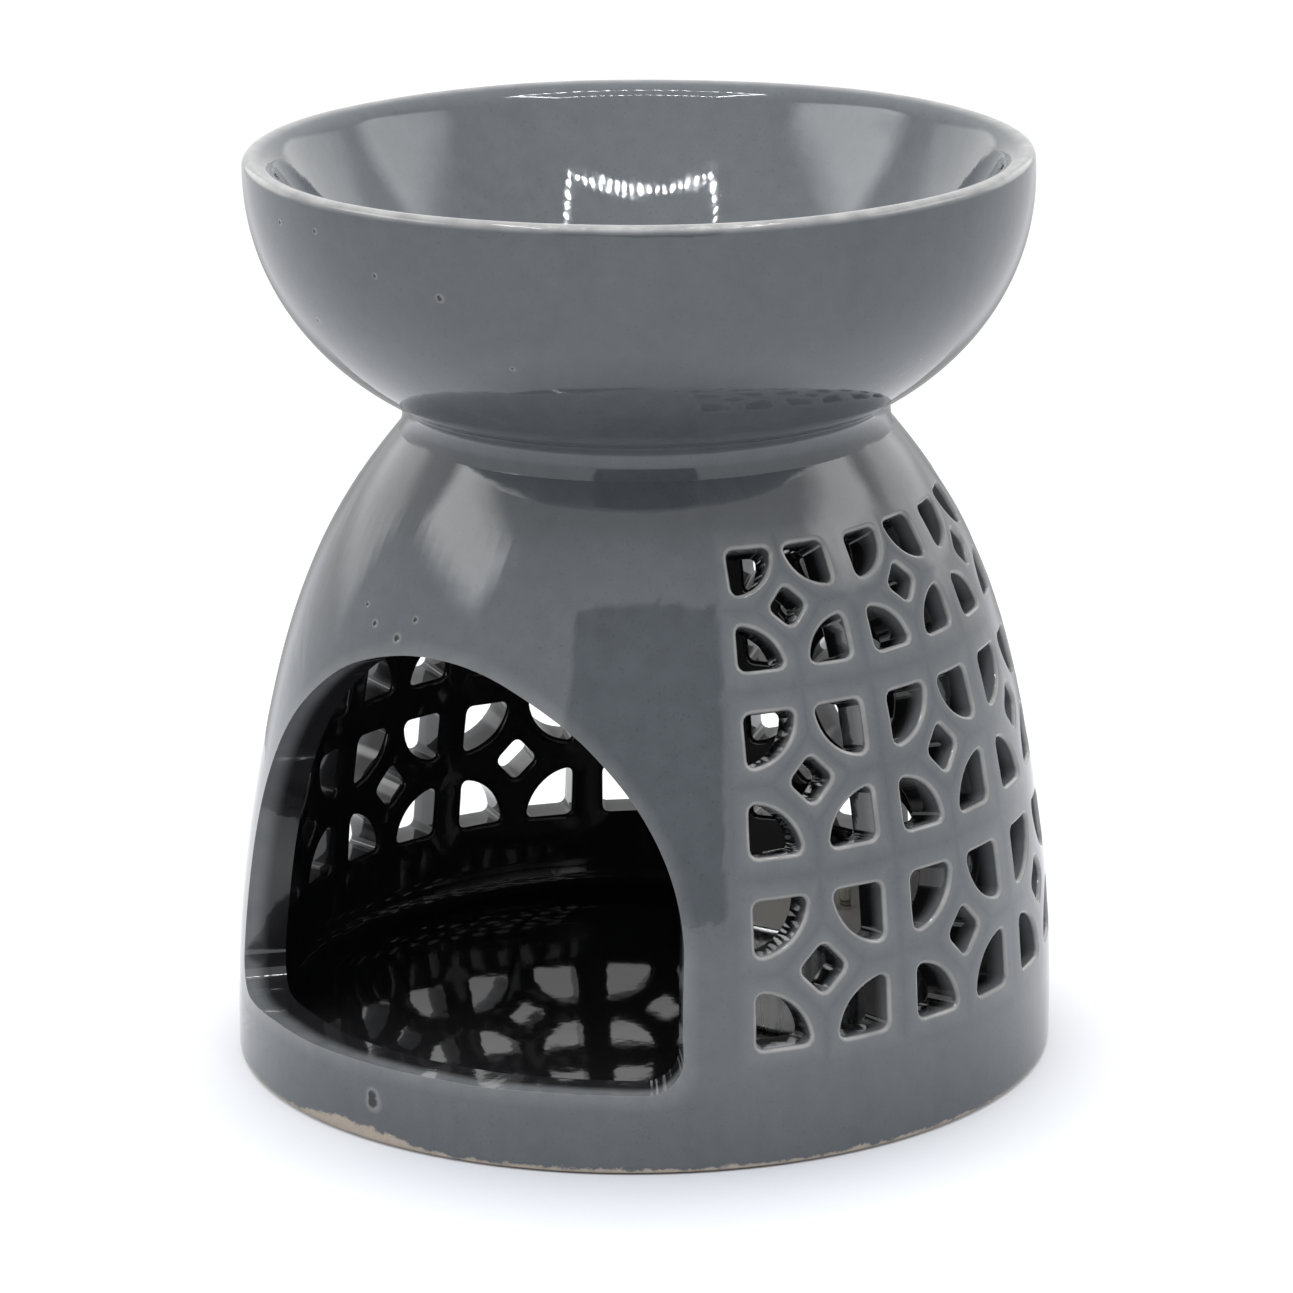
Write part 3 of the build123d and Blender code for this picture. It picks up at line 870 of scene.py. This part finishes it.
def tealight_cup(light, material):
    """Thin cup of the tea light: a pleated side, a rounded base with a pressed ring and a rolled bead."""
    bm = bmesh.new()
    lip = light.height - light.bead
    inside = light.radius - light.skin
    base = light.radius - light.base_round
    vert = bm.verts.new((0, 0, PRESS_RISE))
    vert = line_to(bm, vert, light.radius * PRESS_INNER_SHARE, PRESS_RISE, BASE_STEPS)
    vert = line_to(bm, vert, light.radius * PRESS_OUTER_SHARE, 0)
    vert = line_to(bm, vert, base, 0, BASE_STEPS)
    vert = arc_to(bm, vert, (base, light.base_round), -math.pi / 2, CUP_STEPS)
    vert = line_to(bm, vert, light.radius, lip - light.bead, CUP_STEPS)
    vert = arc_to(bm, vert, (light.radius, lip), -3 / 2 * math.pi, BEAD_STEPS)
    vert = line_to(bm, vert, inside, lip)
    vert = line_to(bm, vert, inside, light.skin, CUP_STEPS)
    line_to(bm, vert, 0, light.skin, CUP_STEPS)
    turn_profile(bm, light.pleats * PLEAT_STEPS)
    for vert in bm.verts:
        on_side = math.hypot(vert.co.x, vert.co.y) > inside - light.skin / 4
        if on_side and light.base_round < vert.co.z < lip - PLEAT_STOP:
            bearing = math.atan2(vert.co.y, vert.co.x)
            swell(vert, PLEAT_DEPTH * (math.cos(bearing * light.pleats) - 1))
    bmesh.ops.translate(bm, verts=bm.verts[:], vec=light.place)
    finish_piece(bm, "tealight_shell", material, "tealight", "tealight_cup")


def tealight_wax(light, material):
    """Wax with a low rise where it clings to the cup and to the wick."""
    bm = bmesh.new()
    reach = light.radius - light.skin - WAX_GAP
    bore = light.wick_radius * WAX_BORE_SHARE
    edge_foot = light.wax_top - WAX_EDGE
    start = bm.verts.new((bore, 0, light.skin))
    vert = line_to(bm, start, reach, light.skin, 2)
    vert = line_to(bm, vert, reach, edge_foot, WAX_SIDE_STEPS)
    vert = arc_to(bm, vert, (reach - WAX_EDGE, edge_foot), -math.pi / 2, WAX_EDGE_STEPS)
    vert = line_to(bm, vert, bore, light.wax_top, WAX_TOP_STEPS)
    bm.edges.new((vert, start))
    turn_profile(bm, WAX_SIDES)
    for vert in bm.verts:
        if vert.co.z > light.wax_top - WAX_SKIN:
            radius = math.hypot(vert.co.x, vert.co.y)
            edge = max(0, radius / reach - WAX_CLING_SHARE) / (1 - WAX_CLING_SHARE)
            mound = math.exp(-((radius / WAX_MOUND) ** 2))
            vert.co.z += edge**2 * WAX_CLING + (mound - 1) * WAX_SINK
            vert.co.z += noise.noise(vert.co * WAX_WAVE_SCALE) * WAX_WAVE
    bmesh.ops.translate(bm, verts=bm.verts[:], vec=light.place)
    finish_piece(bm, "tealight_fill", material, "tealight", "tealight_wax")


def tealight_wick(light, material):
    """Cotton wick of three twisted strands with a cut tip."""
    bm = bmesh.new()
    made = bmesh.ops.create_circle(bm, segments=WICK_SIDES, radius=light.wick_radius, cap_ends=True)
    for vert in made["verts"]:
        bearing = math.atan2(vert.co.y, vert.co.x)
        strand = abs(math.cos(WICK_STRANDS / 2 * bearing))
        vert.co *= 1 - WICK_GROOVE_SHARE + WICK_GROOVE_SHARE * strand
        vert.co.z = WICK_FOOT
    face = bm.faces[:][0]
    rise = (light.wick_top - WICK_FOOT) / WICK_STEPS
    twist = Matrix.Rotation(WICK_TWIST, 3, "Z")
    for step in range(WICK_STEPS):
        made = bmesh.ops.extrude_face_region(bm, geom=[face])
        face = [g for g in made["geom"] if isinstance(g, bmesh.types.BMFace)][0]
        bmesh.ops.translate(bm, verts=face.verts, vec=(0, 0, rise))
        bmesh.ops.rotate(bm, verts=face.verts, cent=(0, 0, 0), matrix=twist)
        if step >= WICK_STEPS - WICK_TIP_STEPS:
            bmesh.ops.scale(bm, verts=face.verts, vec=(WICK_TAPER, WICK_TAPER, 1))
    bmesh.ops.recalc_face_normals(bm, faces=bm.faces[:])
    bmesh.ops.translate(bm, verts=bm.verts[:], vec=light.place)
    finish_piece(bm, "tealight_strands", material, "tealight", "tealight_wick")


def add_node(tree, kind, inputs=None, **settings):
    """Adds a shader node; an input that is a socket is linked, any other is set."""
    made = tree.nodes.new(kind)
    for name, value in settings.items():
        setattr(made, name, value)
    for name, value in (inputs or {}).items():
        if isinstance(value, bpy.types.NodeSocket):
            tree.links.new(value, made.inputs[name])
        else:
            made.inputs[name].default_value = value
    return made


def new_material(name):
    """Material with a principled shader; returns it with its tree, its shader and its Object coordinates."""
    material = bpy.data.materials.new(name)
    material.use_nodes = True
    tree = material.node_tree
    shader = tree.nodes["Principled BSDF"]
    coords = add_node(tree, "ShaderNodeTexCoord").outputs["Object"]
    return material, tree, shader, coords


def noise_at(tree, coords, scale, detail=2.0, roughness=0.5):
    """Noise over the object, with its scale in features per metre."""
    inputs = {"Vector": coords, "Scale": scale, "Detail": detail, "Roughness": roughness}
    return add_node(tree, "ShaderNodeTexNoise", inputs).outputs["Fac"]


def remap(tree, value, low, high, to_low, to_high, smooth=False):
    """A value mapped from one range to another, and kept within it."""
    inputs = {"Value": value, "From Min": low, "From Max": high, "To Min": to_low, "To Max": to_high}
    kind = "SMOOTHSTEP" if smooth else "LINEAR"
    return add_node(tree, "ShaderNodeMapRange", inputs, interpolation_type=kind).outputs["Result"]


def blend(tree, factor, first, second):
    """Two colours blended by a factor."""
    inputs = {0: factor}
    for socket, value in ((6, first), (7, second)):
        inputs[socket] = value if isinstance(value, bpy.types.NodeSocket) else (*value, 1)
    return add_node(tree, "ShaderNodeMix", inputs, data_type="RGBA").outputs[2]


def maths(tree, operation, first, second):
    """Two values combined."""
    return add_node(tree, "ShaderNodeMath", {0: first, 1: second}, operation=operation).outputs[0]


def vectors(tree, operation, first, second=(0, 0, 0), result="Value"):
    """Two vectors combined."""
    return add_node(tree, "ShaderNodeVectorMath", {0: first, 1: second}, operation=operation).outputs[result]


def stretched(tree, coords, scale):
    """Coordinates with a scale of their own along each axis, for a pattern that is drawn out."""
    return add_node(tree, "ShaderNodeMapping", {"Vector": coords, "Scale": scale}).outputs["Vector"]


def dress(tree, shader, tone, roughness, normal=None):
    """Links a shader's colour, its roughness and, where it has bumps, its normal."""
    tree.links.new(tone, shader.inputs["Base Color"])
    tree.links.new(roughness, shader.inputs["Roughness"])
    if normal is not None:
        tree.links.new(normal, shader.inputs["Normal"])


# Pinholes: bearing in degrees, radius, height and size in millimetres
WALL_PITS = (
    (-14.4, 43.8, 64.6, 0.44), (-8.2, 44.21, 63.7, 0.52), (-5.2, 43.16, 66.3, 0.38),
    (-18.0, 43.01, 66.4, 0.32), (-3.5, 54.54, 5.4, 0.95), (-3.6, 54.53, 6.3, 0.8),
)
BOWL_PITS = (
    (-25.0, 51.01, 115.7, 0.38), (-15.3, 51.0, 116.0, 0.34), (-3.5, 50.6, 111.8, 0.34),
    (7.4, 50.25, 110.0, 0.48), (-21.5, 47.78, 103.2, 0.44), (16.8, 46.69, 101.0, 0.38),
)
PIT_HEART_SHARE, PIT_BRIM_SHARE, PIT_DEPTH = 0.55, 1.8, 0.4 * MM

# The painted shade of a dimple on the doorway's left jamb and a worn place on the foot: bearing, radius and
# height, as above
JAMB_DIMPLE_SHADE = (-41.7, 52.48, 15.1)
WORN_FOOT = (-7.5, 54.61, 0)
DIMPLE_SHADE_REACH, WORN_REACH, WORN_LIFT = (0.9 * MM, 1.9 * MM), (3 * MM, 14 * MM), 1.3 * MM

# Top of the bare clay: where it starts and ends over the ground, and how far its edge frays
CLAY_EDGE, FRAY_REACH = (0.4 * MM, 0.8 * MM), 0.5 * MM

# Patterns in the glaze and the clay, in features per metre, and the depths of two of them
CLOUDS, MOTTLE, SPECKS, EDGE_WEAR, FRAY, CLAY_GRAIN, RIPPLE = 45, 420, 2600, 300, 420, 1500, 90
GLAZE_RUNS = (170, 170, 14)
RIPPLE_DEPTH, MOTTLE_DEPTH = 0.06 * MM, 0.012 * MM
GLAZE_IOR = 1.55

# How deep the chamber's floor seems hollowed, as a bump
FLOOR_DISH = -0.8

# Patterns in the tea light's metal, wax and cotton, in features per metre, and the depths of their bumps
CUP_STREAKS, CUP_DENTS, TAB_MARKS, WAX_BLOOM, WAX_GRAIN = (900, 900, 60), 220, 1800, 260, 700
COTTON_FIBRES = (6000, 6000, 900)
DENT_DEPTH, WAX_GRAIN_DEPTH, FIBRE_DEPTH = 0.2 * MM, 0.06 * MM, 0.1 * MM


def spot_on(bearing, radius, height):
    """Point from a bearing in degrees and a radius and height in millimetres."""
    return turned_point(math.radians(bearing), radius * MM, height * MM)


def away_from(tree, coords, spot):
    """Distance from a point of the object."""
    return vectors(tree, "DISTANCE", coords, spot)


def bump(tree, height, depth, normal=None, strength=1):
    """Bumps of a depth in metres, on top of another normal."""
    inputs = {"Height": height, "Strength": strength, "Distance": depth}
    if normal is not None:
        inputs["Normal"] = normal
    return add_node(tree, "ShaderNodeBump", inputs).outputs["Normal"]


def pit_mask(tree, coords, pits):
    """The pinholes' hearts, where their shade is painted dark, and their pale brims."""
    heart = brim = None
    for *place, size in pits:
        away = away_from(tree, coords, spot_on(*place))
        core = remap(tree, away, size * PIT_HEART_SHARE * MM, size * MM, 1, 0, True)
        ring = remap(tree, away, size * MM, size * PIT_BRIM_SHARE * MM, 1, 0, True)
        heart = core if heart is None else maths(tree, "MAXIMUM", heart, core)
        brim = ring if brim is None else maths(tree, "MAXIMUM", brim, ring)
    return heart, brim


def grey_glaze(finish, name, pits=(), dish=0):
    """Glossy grey glaze: clouded, streaked, pale over edges with a painted highlight, with painted shade
    inside, in its pinholes and in a dimple, and a bare foot.
    """
    material, tree, shader, coords = new_material(name)
    glaze = Vector(finish.glaze)
    thin_and_highlight = add_node(tree, "ShaderNodeAttribute", attribute_name="thin_glaze_and_highlight").outputs["Fac"]
    deep = add_node(tree, "ShaderNodeAttribute", attribute_name="wall_depth").outputs["Fac"]
    runs = stretched(tree, coords, GLAZE_RUNS)
    mottle = noise_at(tree, coords, MOTTLE, 3)
    clouds = remap(tree, noise_at(tree, coords, CLOUDS, 3), 0.3, 0.7, 0, 1)
    tone = blend(tree, clouds, glaze * 0.93, glaze * 1.07)
    tone = blend(tree, remap(tree, noise_at(tree, runs, 1, 2), 0.52, 0.72, 0, 0.22), tone, glaze * 0.62)
    tone = blend(tree, remap(tree, mottle, 0.35, 0.75, 0, 0.35), tone, glaze * 1.35)
    tone = blend(tree, remap(tree, noise_at(tree, coords, SPECKS, 1), 0.62, 0.75, 0, 0.3), tone, glaze * 0.45)
    worn_edge = remap(tree, noise_at(tree, coords, EDGE_WEAR, 2), 0.3, 0.7, 0.55, 1)
    # Pale thin glaze over edges, partly a painted highlight
    tone = blend(tree, maths(tree, "MULTIPLY", thin_and_highlight, worn_edge), tone, finish.thin_glaze_and_highlight)
    # Painted shade inside the chamber, deep in the holes and under the bowl
    tone = blend(tree, remap(tree, deep, 0.15, 0.6, 0, 1, True), tone, finish.inside_shade)
    # Painted shade of a dimple on the doorway's left jamb
    dimple_shade = remap(tree, away_from(tree, coords, spot_on(*JAMB_DIMPLE_SHADE)), *DIMPLE_SHADE_REACH, 0.75, 0, True)
    tone = blend(tree, dimple_shade, tone, glaze * 0.35)
    height = add_node(tree, "ShaderNodeSeparateXYZ", {0: coords}).outputs["Z"]
    lift = remap(tree, away_from(tree, coords, spot_on(*WORN_FOOT)), *WORN_REACH, WORN_LIFT, 0, True)
    fray = remap(tree, noise_at(tree, coords, FRAY, 5, 0.7), 0.3, 0.7, -FRAY_REACH, FRAY_REACH)
    ragged = maths(tree, "ADD", maths(tree, "SUBTRACT", height, lift), fray)
    clay = remap(tree, ragged, *CLAY_EDGE, 1, 0)
    body = Vector(finish.clay)
    grain = noise_at(tree, coords, CLAY_GRAIN, 3)
    tone = blend(tree, clay, tone, blend(tree, grain, body * 0.75, body * 1.15))
    normal = bump(tree, noise_at(tree, coords, RIPPLE, 2), RIPPLE_DEPTH)
    normal = bump(tree, mottle, MOTTLE_DEPTH, normal)
    if dish:
        flat = vectors(tree, "MULTIPLY", coords, (1, 1, 0), "Vector")
        reach = vectors(tree, "LENGTH", flat)
        normal = bump(tree, maths(tree, "POWER", reach, 2), dish, normal)
    if pits:
        heart, brim = pit_mask(tree, coords, pits)
        # Pale brims round the pinholes, in the colour of thin glaze and painted highlight
        tone = blend(tree, maths(tree, "MULTIPLY", brim, 0.35), tone, finish.thin_glaze_and_highlight)
        # Painted shade in the pinholes' hearts
        tone = blend(tree, heart, tone, glaze * 0.1)
        normal = bump(tree, heart, -PIT_DEPTH, normal)
    gloss = remap(tree, mottle, 0.3, 0.7, 0.03, 0.06)
    gloss = maths(tree, "MAXIMUM", gloss, maths(tree, "MULTIPLY", clay, 0.75))
    dress(tree, shader, tone, gloss, normal)
    shader.inputs["IOR"].default_value = GLAZE_IOR
    return material


def cup_metal(finish):
    """Thin rolled aluminium with drawn streaks and small dents."""
    material, tree, shader, coords = new_material("cup_aluminium")
    metal = Vector(finish.aluminium)
    streaks = noise_at(tree, stretched(tree, coords, CUP_STREAKS), 1, 2)
    dents = bump(tree, noise_at(tree, coords, CUP_DENTS, 2), DENT_DEPTH, strength=0.6)
    roughness = remap(tree, streaks, 0.3, 0.7, 0.22, 0.38)
    dress(tree, shader, blend(tree, streaks, metal * 0.86, metal), roughness, dents)
    shader.inputs["Metallic"].default_value = 1
    return material


def tab_metal(finish):
    """Tinned tab that holds the wick, with fine press marks."""
    material, tree, shader, coords = new_material("tinned_tab")
    metal = Vector(finish.aluminium)
    marks = noise_at(tree, coords, TAB_MARKS, 3)
    roughness = remap(tree, marks, 0.3, 0.7, 0.28, 0.45)
    dress(tree, shader, blend(tree, marks, metal * 0.6, metal * 0.8), roughness)
    shader.inputs["Metallic"].default_value = 1
    return material


def white_wax(finish):
    """Milky wax with a faint bloom."""
    material, tree, shader, coords = new_material("white_wax")
    wax = Vector(finish.wax)
    bloom = noise_at(tree, coords, WAX_BLOOM, 4)
    skin = bump(tree, noise_at(tree, coords, WAX_GRAIN, 3), WAX_GRAIN_DEPTH)
    dress(tree, shader, blend(tree, bloom, wax * 0.93, wax), remap(tree, bloom, 0.3, 0.7, 0.32, 0.5), skin)
    shader.inputs["Subsurface Weight"].default_value = 0.35
    shader.inputs["Subsurface Radius"].default_value = (4 * MM, 3 * MM, 2 * MM)
    shader.inputs["Subsurface Scale"].default_value = 1
    return material


def cotton_wick(finish):
    """Waxed cotton with fibres along its strands."""
    material, tree, shader, coords = new_material("cotton_wick")
    cotton = Vector(finish.cotton)
    fibres = noise_at(tree, stretched(tree, coords, COTTON_FIBRES), 1, 3)
    roughness = remap(tree, fibres, 0.3, 0.7, 0.6, 0.9)
    dress(tree, shader, blend(tree, fibres, cotton * 0.7, cotton), roughness, bump(tree, fibres, FIBRE_DEPTH))
    return material


# White, as a socket takes it, and the faintly blue white of the small lamps
WHITE, LAMP_WHITE = (1, 1, 1, 1), (0.96, 0.98, 1, 1)

# Floor: its reach and drop, and how far before the burner its painted shadow lies, its fade and the glow
# round it
FLOOR_REACH, FLOOR_DROP = 3, 0.05 * MM
SHADE_BEFORE, SHADE_FROM, SHADE_TO, FLOOR_GLOW = 22 * MM, 32 * MM, 74 * MM, 0.64

# Height of the point that lamps and cloths face
LIT_HEIGHT = 80 * MM

# Lamps: bearing right of the camera and elevation in degrees, distance, width and height in metres, and watts
LAMPS = {
    "roof_lamp": (0, 75, 0.5, 0.40, 0.26, 3.7),
    "left_lamp": (-80, 36, 0.8, 0.5, 0.4, 0.8),
}

# Panels that only show in the glaze: placed and sized as the lamps are, then their glow and soft edge
PANELS = {
    "left_cloth": (-85, 36, 0.9, 0.72, 0.36, 4.4, 0.14),
    "right_cloth": (95, 33, 0.9, 0.66, 0.36, 3.4, 0.14),
    "back_left_cloth": (-138, 15, 1.1, 0.9, 0.5, 2.0, 0.15),
    "back_right_cloth": (138, 15, 1.1, 0.9, 0.5, 2.0, 0.15),
    "back_card": (180, -20, 0.17, 0.26, 0.17, 0.5, 0.05),
    "tent_opening": (-0.5, 14, 1.0, 0.90, 0.95, 0, 0.05),
}

# Frame of small lamps: where its front and back lie, away from the camera, its half width, height and glow
FRAME_FRONT, FRAME_BACK, FRAME_HALF_WIDTH, FRAME_HEIGHT, FRAME_GLOW = -0.245, -0.02, 0.185, 0.56, 80
SMALL_LAMP_SPACING, SMALL_LAMP_RADII, SMALL_LAMP_DEPTH = 21 * MM, (5.5 * MM, 4 * MM), 6 * MM
SMALL_LAMP_SIDES = 12


def shown_rays(tree):
    """One for the rays that show the surroundings: to the camera, in reflections and through glass."""
    path = add_node(tree, "ShaderNodeLightPath").outputs
    seen = maths(tree, "MAXIMUM", path["Is Camera Ray"], path["Is Glossy Ray"])
    return maths(tree, "MAXIMUM", seen, path["Is Transmission Ray"])


def white_floor(stage):
    """Floor that keeps the burner's shadow and shows white round it, to the camera and in reflections; the
    shadow is deepened by painted shade, a darker colour for those rays and a glow that stays off near the
    burner.
    """
    material, tree, shader, coords = new_material("white_floor")
    shader.inputs["Roughness"].default_value = 0.9
    shader.inputs["Specular IOR Level"].default_value = 0.1
    seen = shown_rays(tree)
    # Painted shadow: a darker colour to the camera and in reflections, and a glow that stays off near a point
    # before the burner
    tree.links.new(blend(tree, seen, stage.floor, stage.shadow), shader.inputs["Base Color"])
    away = away_from(tree, coords, from_camera(stage, 0, -SHADE_BEFORE, 0))
    glow = remap(tree, away, SHADE_FROM, SHADE_TO, 0, FLOOR_GLOW)
    tree.links.new(maths(tree, "MULTIPLY", seen, glow), shader.inputs["Emission Strength"])
    shader.inputs["Emission Color"].default_value = WHITE
    bm = bmesh.new()
    bmesh.ops.create_grid(bm, x_segments=1, y_segments=1, size=FLOOR_REACH)
    floor = new_object(bm, "floor", material)
    floor.location.z = -FLOOR_DROP


def white_tent(stage):
    """World that lights the burner from all round and shows white."""
    world = bpy.data.worlds.new("white_tent")
    bpy.context.scene.world = world
    world.use_nodes = True
    tree = world.node_tree
    back = tree.nodes["Background"]
    back.inputs["Color"].default_value = WHITE
    tree.links.new(remap(tree, shown_rays(tree), 0, 1, stage.tent, 1), back.inputs["Strength"])


def from_camera(stage, across, away, up):
    """Point given across, away from the camera and up, as the camera's bearing turns it."""
    turn = Matrix.Rotation(stage.bearing, 3, "Z")
    return turn @ Vector((across, away, up))


def turned_to(spot):
    """Turn of a lamp, a panel or the camera that looks back along a direction."""
    return spot.to_track_quat("Z", "Y").to_matrix().to_4x4()


def facing(stage, bearing, elevation, distance):
    """Matrix that puts a thing in a direction from the burner and turns it to face it."""
    side, up = math.radians(bearing), math.radians(elevation)
    flat = math.cos(up)
    spot = from_camera(stage, math.sin(side) * flat, -math.cos(side) * flat, math.sin(up)) * distance
    return Matrix.Translation(spot + Vector((0, 0, LIT_HEIGHT))) @ turned_to(spot)


def softbox(stage, name, bearing, elevation, distance, width, height, power):
    """Rectangular soft lamp that lights the burner and does not show in its glaze."""
    lamp = bpy.data.lights.new(name, "AREA")
    lamp.shape = "RECTANGLE"
    lamp.size = width
    lamp.size_y = height
    lamp.energy = power
    box = bpy.data.objects.new(name, lamp)
    box.matrix_world = facing(stage, bearing, elevation, distance)
    box.visible_glossy = False
    bpy.context.scene.collection.objects.link(box)


def mirrored(name, bm, material, place):
    """Makes a thing of the tent that only shows in the glaze."""
    thing = new_object(bm, name, material)
    thing.matrix_world = place
    thing.visible_camera = thing.visible_diffuse = thing.visible_shadow = False
    thing.visible_transmission = thing.visible_volume_scatter = False


def glow_material(name, shade, strength):
    """Material that glows evenly; returns it with its tree and its shader."""
    material = bpy.data.materials.new(name)
    material.use_nodes = True
    material.cycles.emission_sampling = "NONE"
    tree = material.node_tree
    tree.nodes.remove(tree.nodes["Principled BSDF"])
    lit = add_node(tree, "ShaderNodeEmission", {"Color": shade, "Strength": strength}).outputs[0]
    tree.links.new(lit, tree.nodes["Material Output"].inputs["Surface"])
    return material, tree, lit


def soft_panel(stage, name, bearing, elevation, distance, width, height, glow, edge):
    """Panel with soft edges: a lit cloth, a grey card or, with no glow, the dark opening of the tent."""
    material, tree, lit = glow_material(name, WHITE, glow)
    coords = add_node(tree, "ShaderNodeTexCoord").outputs["Object"]
    parts = add_node(tree, "ShaderNodeSeparateXYZ", {0: coords}).outputs
    fades = [
        remap(tree, maths(tree, "ABSOLUTE", parts[axis], 0), size / 2 - edge, size / 2, 1, 0, True)
        for axis, size in ((0, width), (1, height))
    ]
    clear = add_node(tree, "ShaderNodeBsdfTransparent").outputs[0]
    mix = add_node(tree, "ShaderNodeMixShader", {0: maths(tree, "MULTIPLY", *fades), 1: clear, 2: lit})
    tree.links.new(mix.outputs[0], tree.nodes["Material Output"].inputs["Surface"])
    bm = bmesh.new()
    size = Matrix.Diagonal((width, height, 1, 1))
    bmesh.ops.create_grid(bm, x_segments=1, y_segments=1, size=0.5, matrix=size)
    mirrored(name, bm, material, facing(stage, bearing, elevation, distance))


def lamp_frame(stage):
    """Frame of small lamps under the tent's roof, in front of the burner and above the camera."""
    bm = bmesh.new()
    left, right = -FRAME_HALF_WIDTH, FRAME_HALF_WIDTH
    corners = [(left, FRAME_FRONT), (right, FRAME_FRONT), (right, FRAME_BACK), (left, FRAME_BACK)]
    corners = [Vector((*corner, FRAME_HEIGHT)) for corner in corners]
    for start, end in zip(corners, corners[1:] + corners[:1]):
        count = round((end - start).length / SMALL_LAMP_SPACING)
        for step in range(count):
            bmesh.ops.create_cone(
                bm, cap_ends=True, segments=SMALL_LAMP_SIDES, radius1=SMALL_LAMP_RADII[0],
                radius2=SMALL_LAMP_RADII[1], depth=SMALL_LAMP_DEPTH,
                matrix=Matrix.Translation(start.lerp(end, step / count)),
            )
    material = glow_material("roof_lamps", LAMP_WHITE, FRAME_GLOW)[0]
    mirrored("roof_lamps", bm, material, Matrix.Rotation(stage.bearing, 4, "Z"))


def photo_camera(stage):
    """Camera that sees the burner as the photograph does."""
    scene = bpy.context.scene
    camera = bpy.data.cameras.new("camera")
    camera.sensor_width = SENSOR
    camera.lens = stage.focal
    camera.clip_start, camera.clip_end = 0.01, 20
    view = bpy.data.objects.new("camera", camera)
    aim = from_camera(stage, stage.aim_side, 0, stage.aim_height)
    back_off = from_camera(stage, 0, -math.cos(stage.elevation), math.sin(stage.elevation))
    turn = turned_to(back_off) @ Matrix.Rotation(stage.roll, 4, "Z")
    view.matrix_world = Matrix.Translation(aim + back_off * stage.distance) @ turn
    scene.collection.objects.link(view)
    scene.camera = view


class BURNER_OT_wall(bpy.types.Operator):
    """Models the pierced wall and the chamber's floor"""

    bl_idname = "burner.wall"
    bl_label = "Pierced wall and floor"

    def execute(self, context):
        scene = context.scene
        glaze = grey_glaze(scene.burner_finish, "grey_glaze_wall", WALL_PITS)
        pierced_wall(scene.burner_wall, scene.burner_bowl, glaze)
        glaze = grey_glaze(scene.burner_finish, "grey_glaze_floor", dish=FLOOR_DISH)
        chamber_floor(scene.burner_wall, scene.burner_bowl, glaze)
        return {"FINISHED"}


class BURNER_OT_bowl(bpy.types.Operator):
    """Models the oil bowl and the seam under it"""

    bl_idname = "burner.bowl"
    bl_label = "Oil bowl and seam"

    def execute(self, context):
        scene = context.scene
        glaze = grey_glaze(scene.burner_finish, "grey_glaze_bowl", BOWL_PITS)
        oil_bowl(scene.burner_wall, scene.burner_bowl, glaze)
        luting_seam(scene.burner_wall, scene.burner_bowl, glaze)
        return {"FINISHED"}


class BURNER_OT_tealight(bpy.types.Operator):
    """Models the tea light's cup, wax and wick, and finishes its tab"""

    bl_idname = "burner.tealight"
    bl_label = "Tea light"

    def execute(self, context):
        scene = context.scene
        light = scene.burner_tealight
        tealight_cup(light, cup_metal(scene.burner_finish))
        tealight_wax(light, white_wax(scene.burner_finish))
        tealight_wick(light, cotton_wick(scene.burner_finish))
        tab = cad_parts["tealight_wick_tab"]
        tab.data.materials.clear()
        tab.data.materials.append(tab_metal(scene.burner_finish))
        return {"FINISHED"}


class BURNER_OT_stage(bpy.types.Operator):
    """Sets the floor, the tent, the lamps and the camera"""

    bl_idname = "burner.stage"
    bl_label = "Stage"

    def execute(self, context):
        stage = context.scene.burner_stage
        white_floor(stage)
        white_tent(stage)
        for name, numbers in LAMPS.items():
            softbox(stage, name, *numbers)
        for name, numbers in PANELS.items():
            soft_panel(stage, name, *numbers)
        lamp_frame(stage)
        photo_camera(stage)
        context.scene.view_settings.view_transform = "Standard"
        return {"FINISHED"}


class BURNER_PT_panel(bpy.types.Panel):
    """Lists the burner's pieces and its stage"""

    bl_idname = "BURNER_PT_panel"
    bl_label = "Oil burner"
    bl_space_type = "VIEW_3D"
    bl_region_type = "UI"
    bl_category = "Burner"

    def draw(self, context):
        for operator in OPERATORS:
            self.layout.operator(operator.bl_idname)


SETTINGS = {
    "burner_wall": BurnerWallSettings,
    "burner_bowl": BurnerBowlSettings,
    "burner_tealight": BurnerTealightSettings,
    "burner_finish": BurnerFinishSettings,
    "burner_stage": BurnerStageSettings,
}
OPERATORS = (BURNER_OT_wall, BURNER_OT_bowl, BURNER_OT_tealight, BURNER_OT_stage)


def register():
    """Adds the settings, the operators and the panel."""
    for name, group in SETTINGS.items():
        bpy.utils.register_class(group)
        setattr(bpy.types.Scene, name, PointerProperty(type=group))
    for operator in OPERATORS:
        bpy.utils.register_class(operator)
    bpy.utils.register_class(BURNER_PT_panel)


def unregister():
    """Takes them away again, last first."""
    bpy.utils.unregister_class(BURNER_PT_panel)
    for operator in reversed(OPERATORS):
        bpy.utils.unregister_class(operator)
    for name, group in reversed(list(SETTINGS.items())):
        delattr(bpy.types.Scene, name)
        bpy.utils.unregister_class(group)


def main():
    """Models the burner on its stage."""
    register()
    bpy.ops.burner.wall()
    bpy.ops.burner.bowl()
    bpy.ops.burner.tealight()
    bpy.ops.burner.stage()


if __name__ == "__main__":
    main()
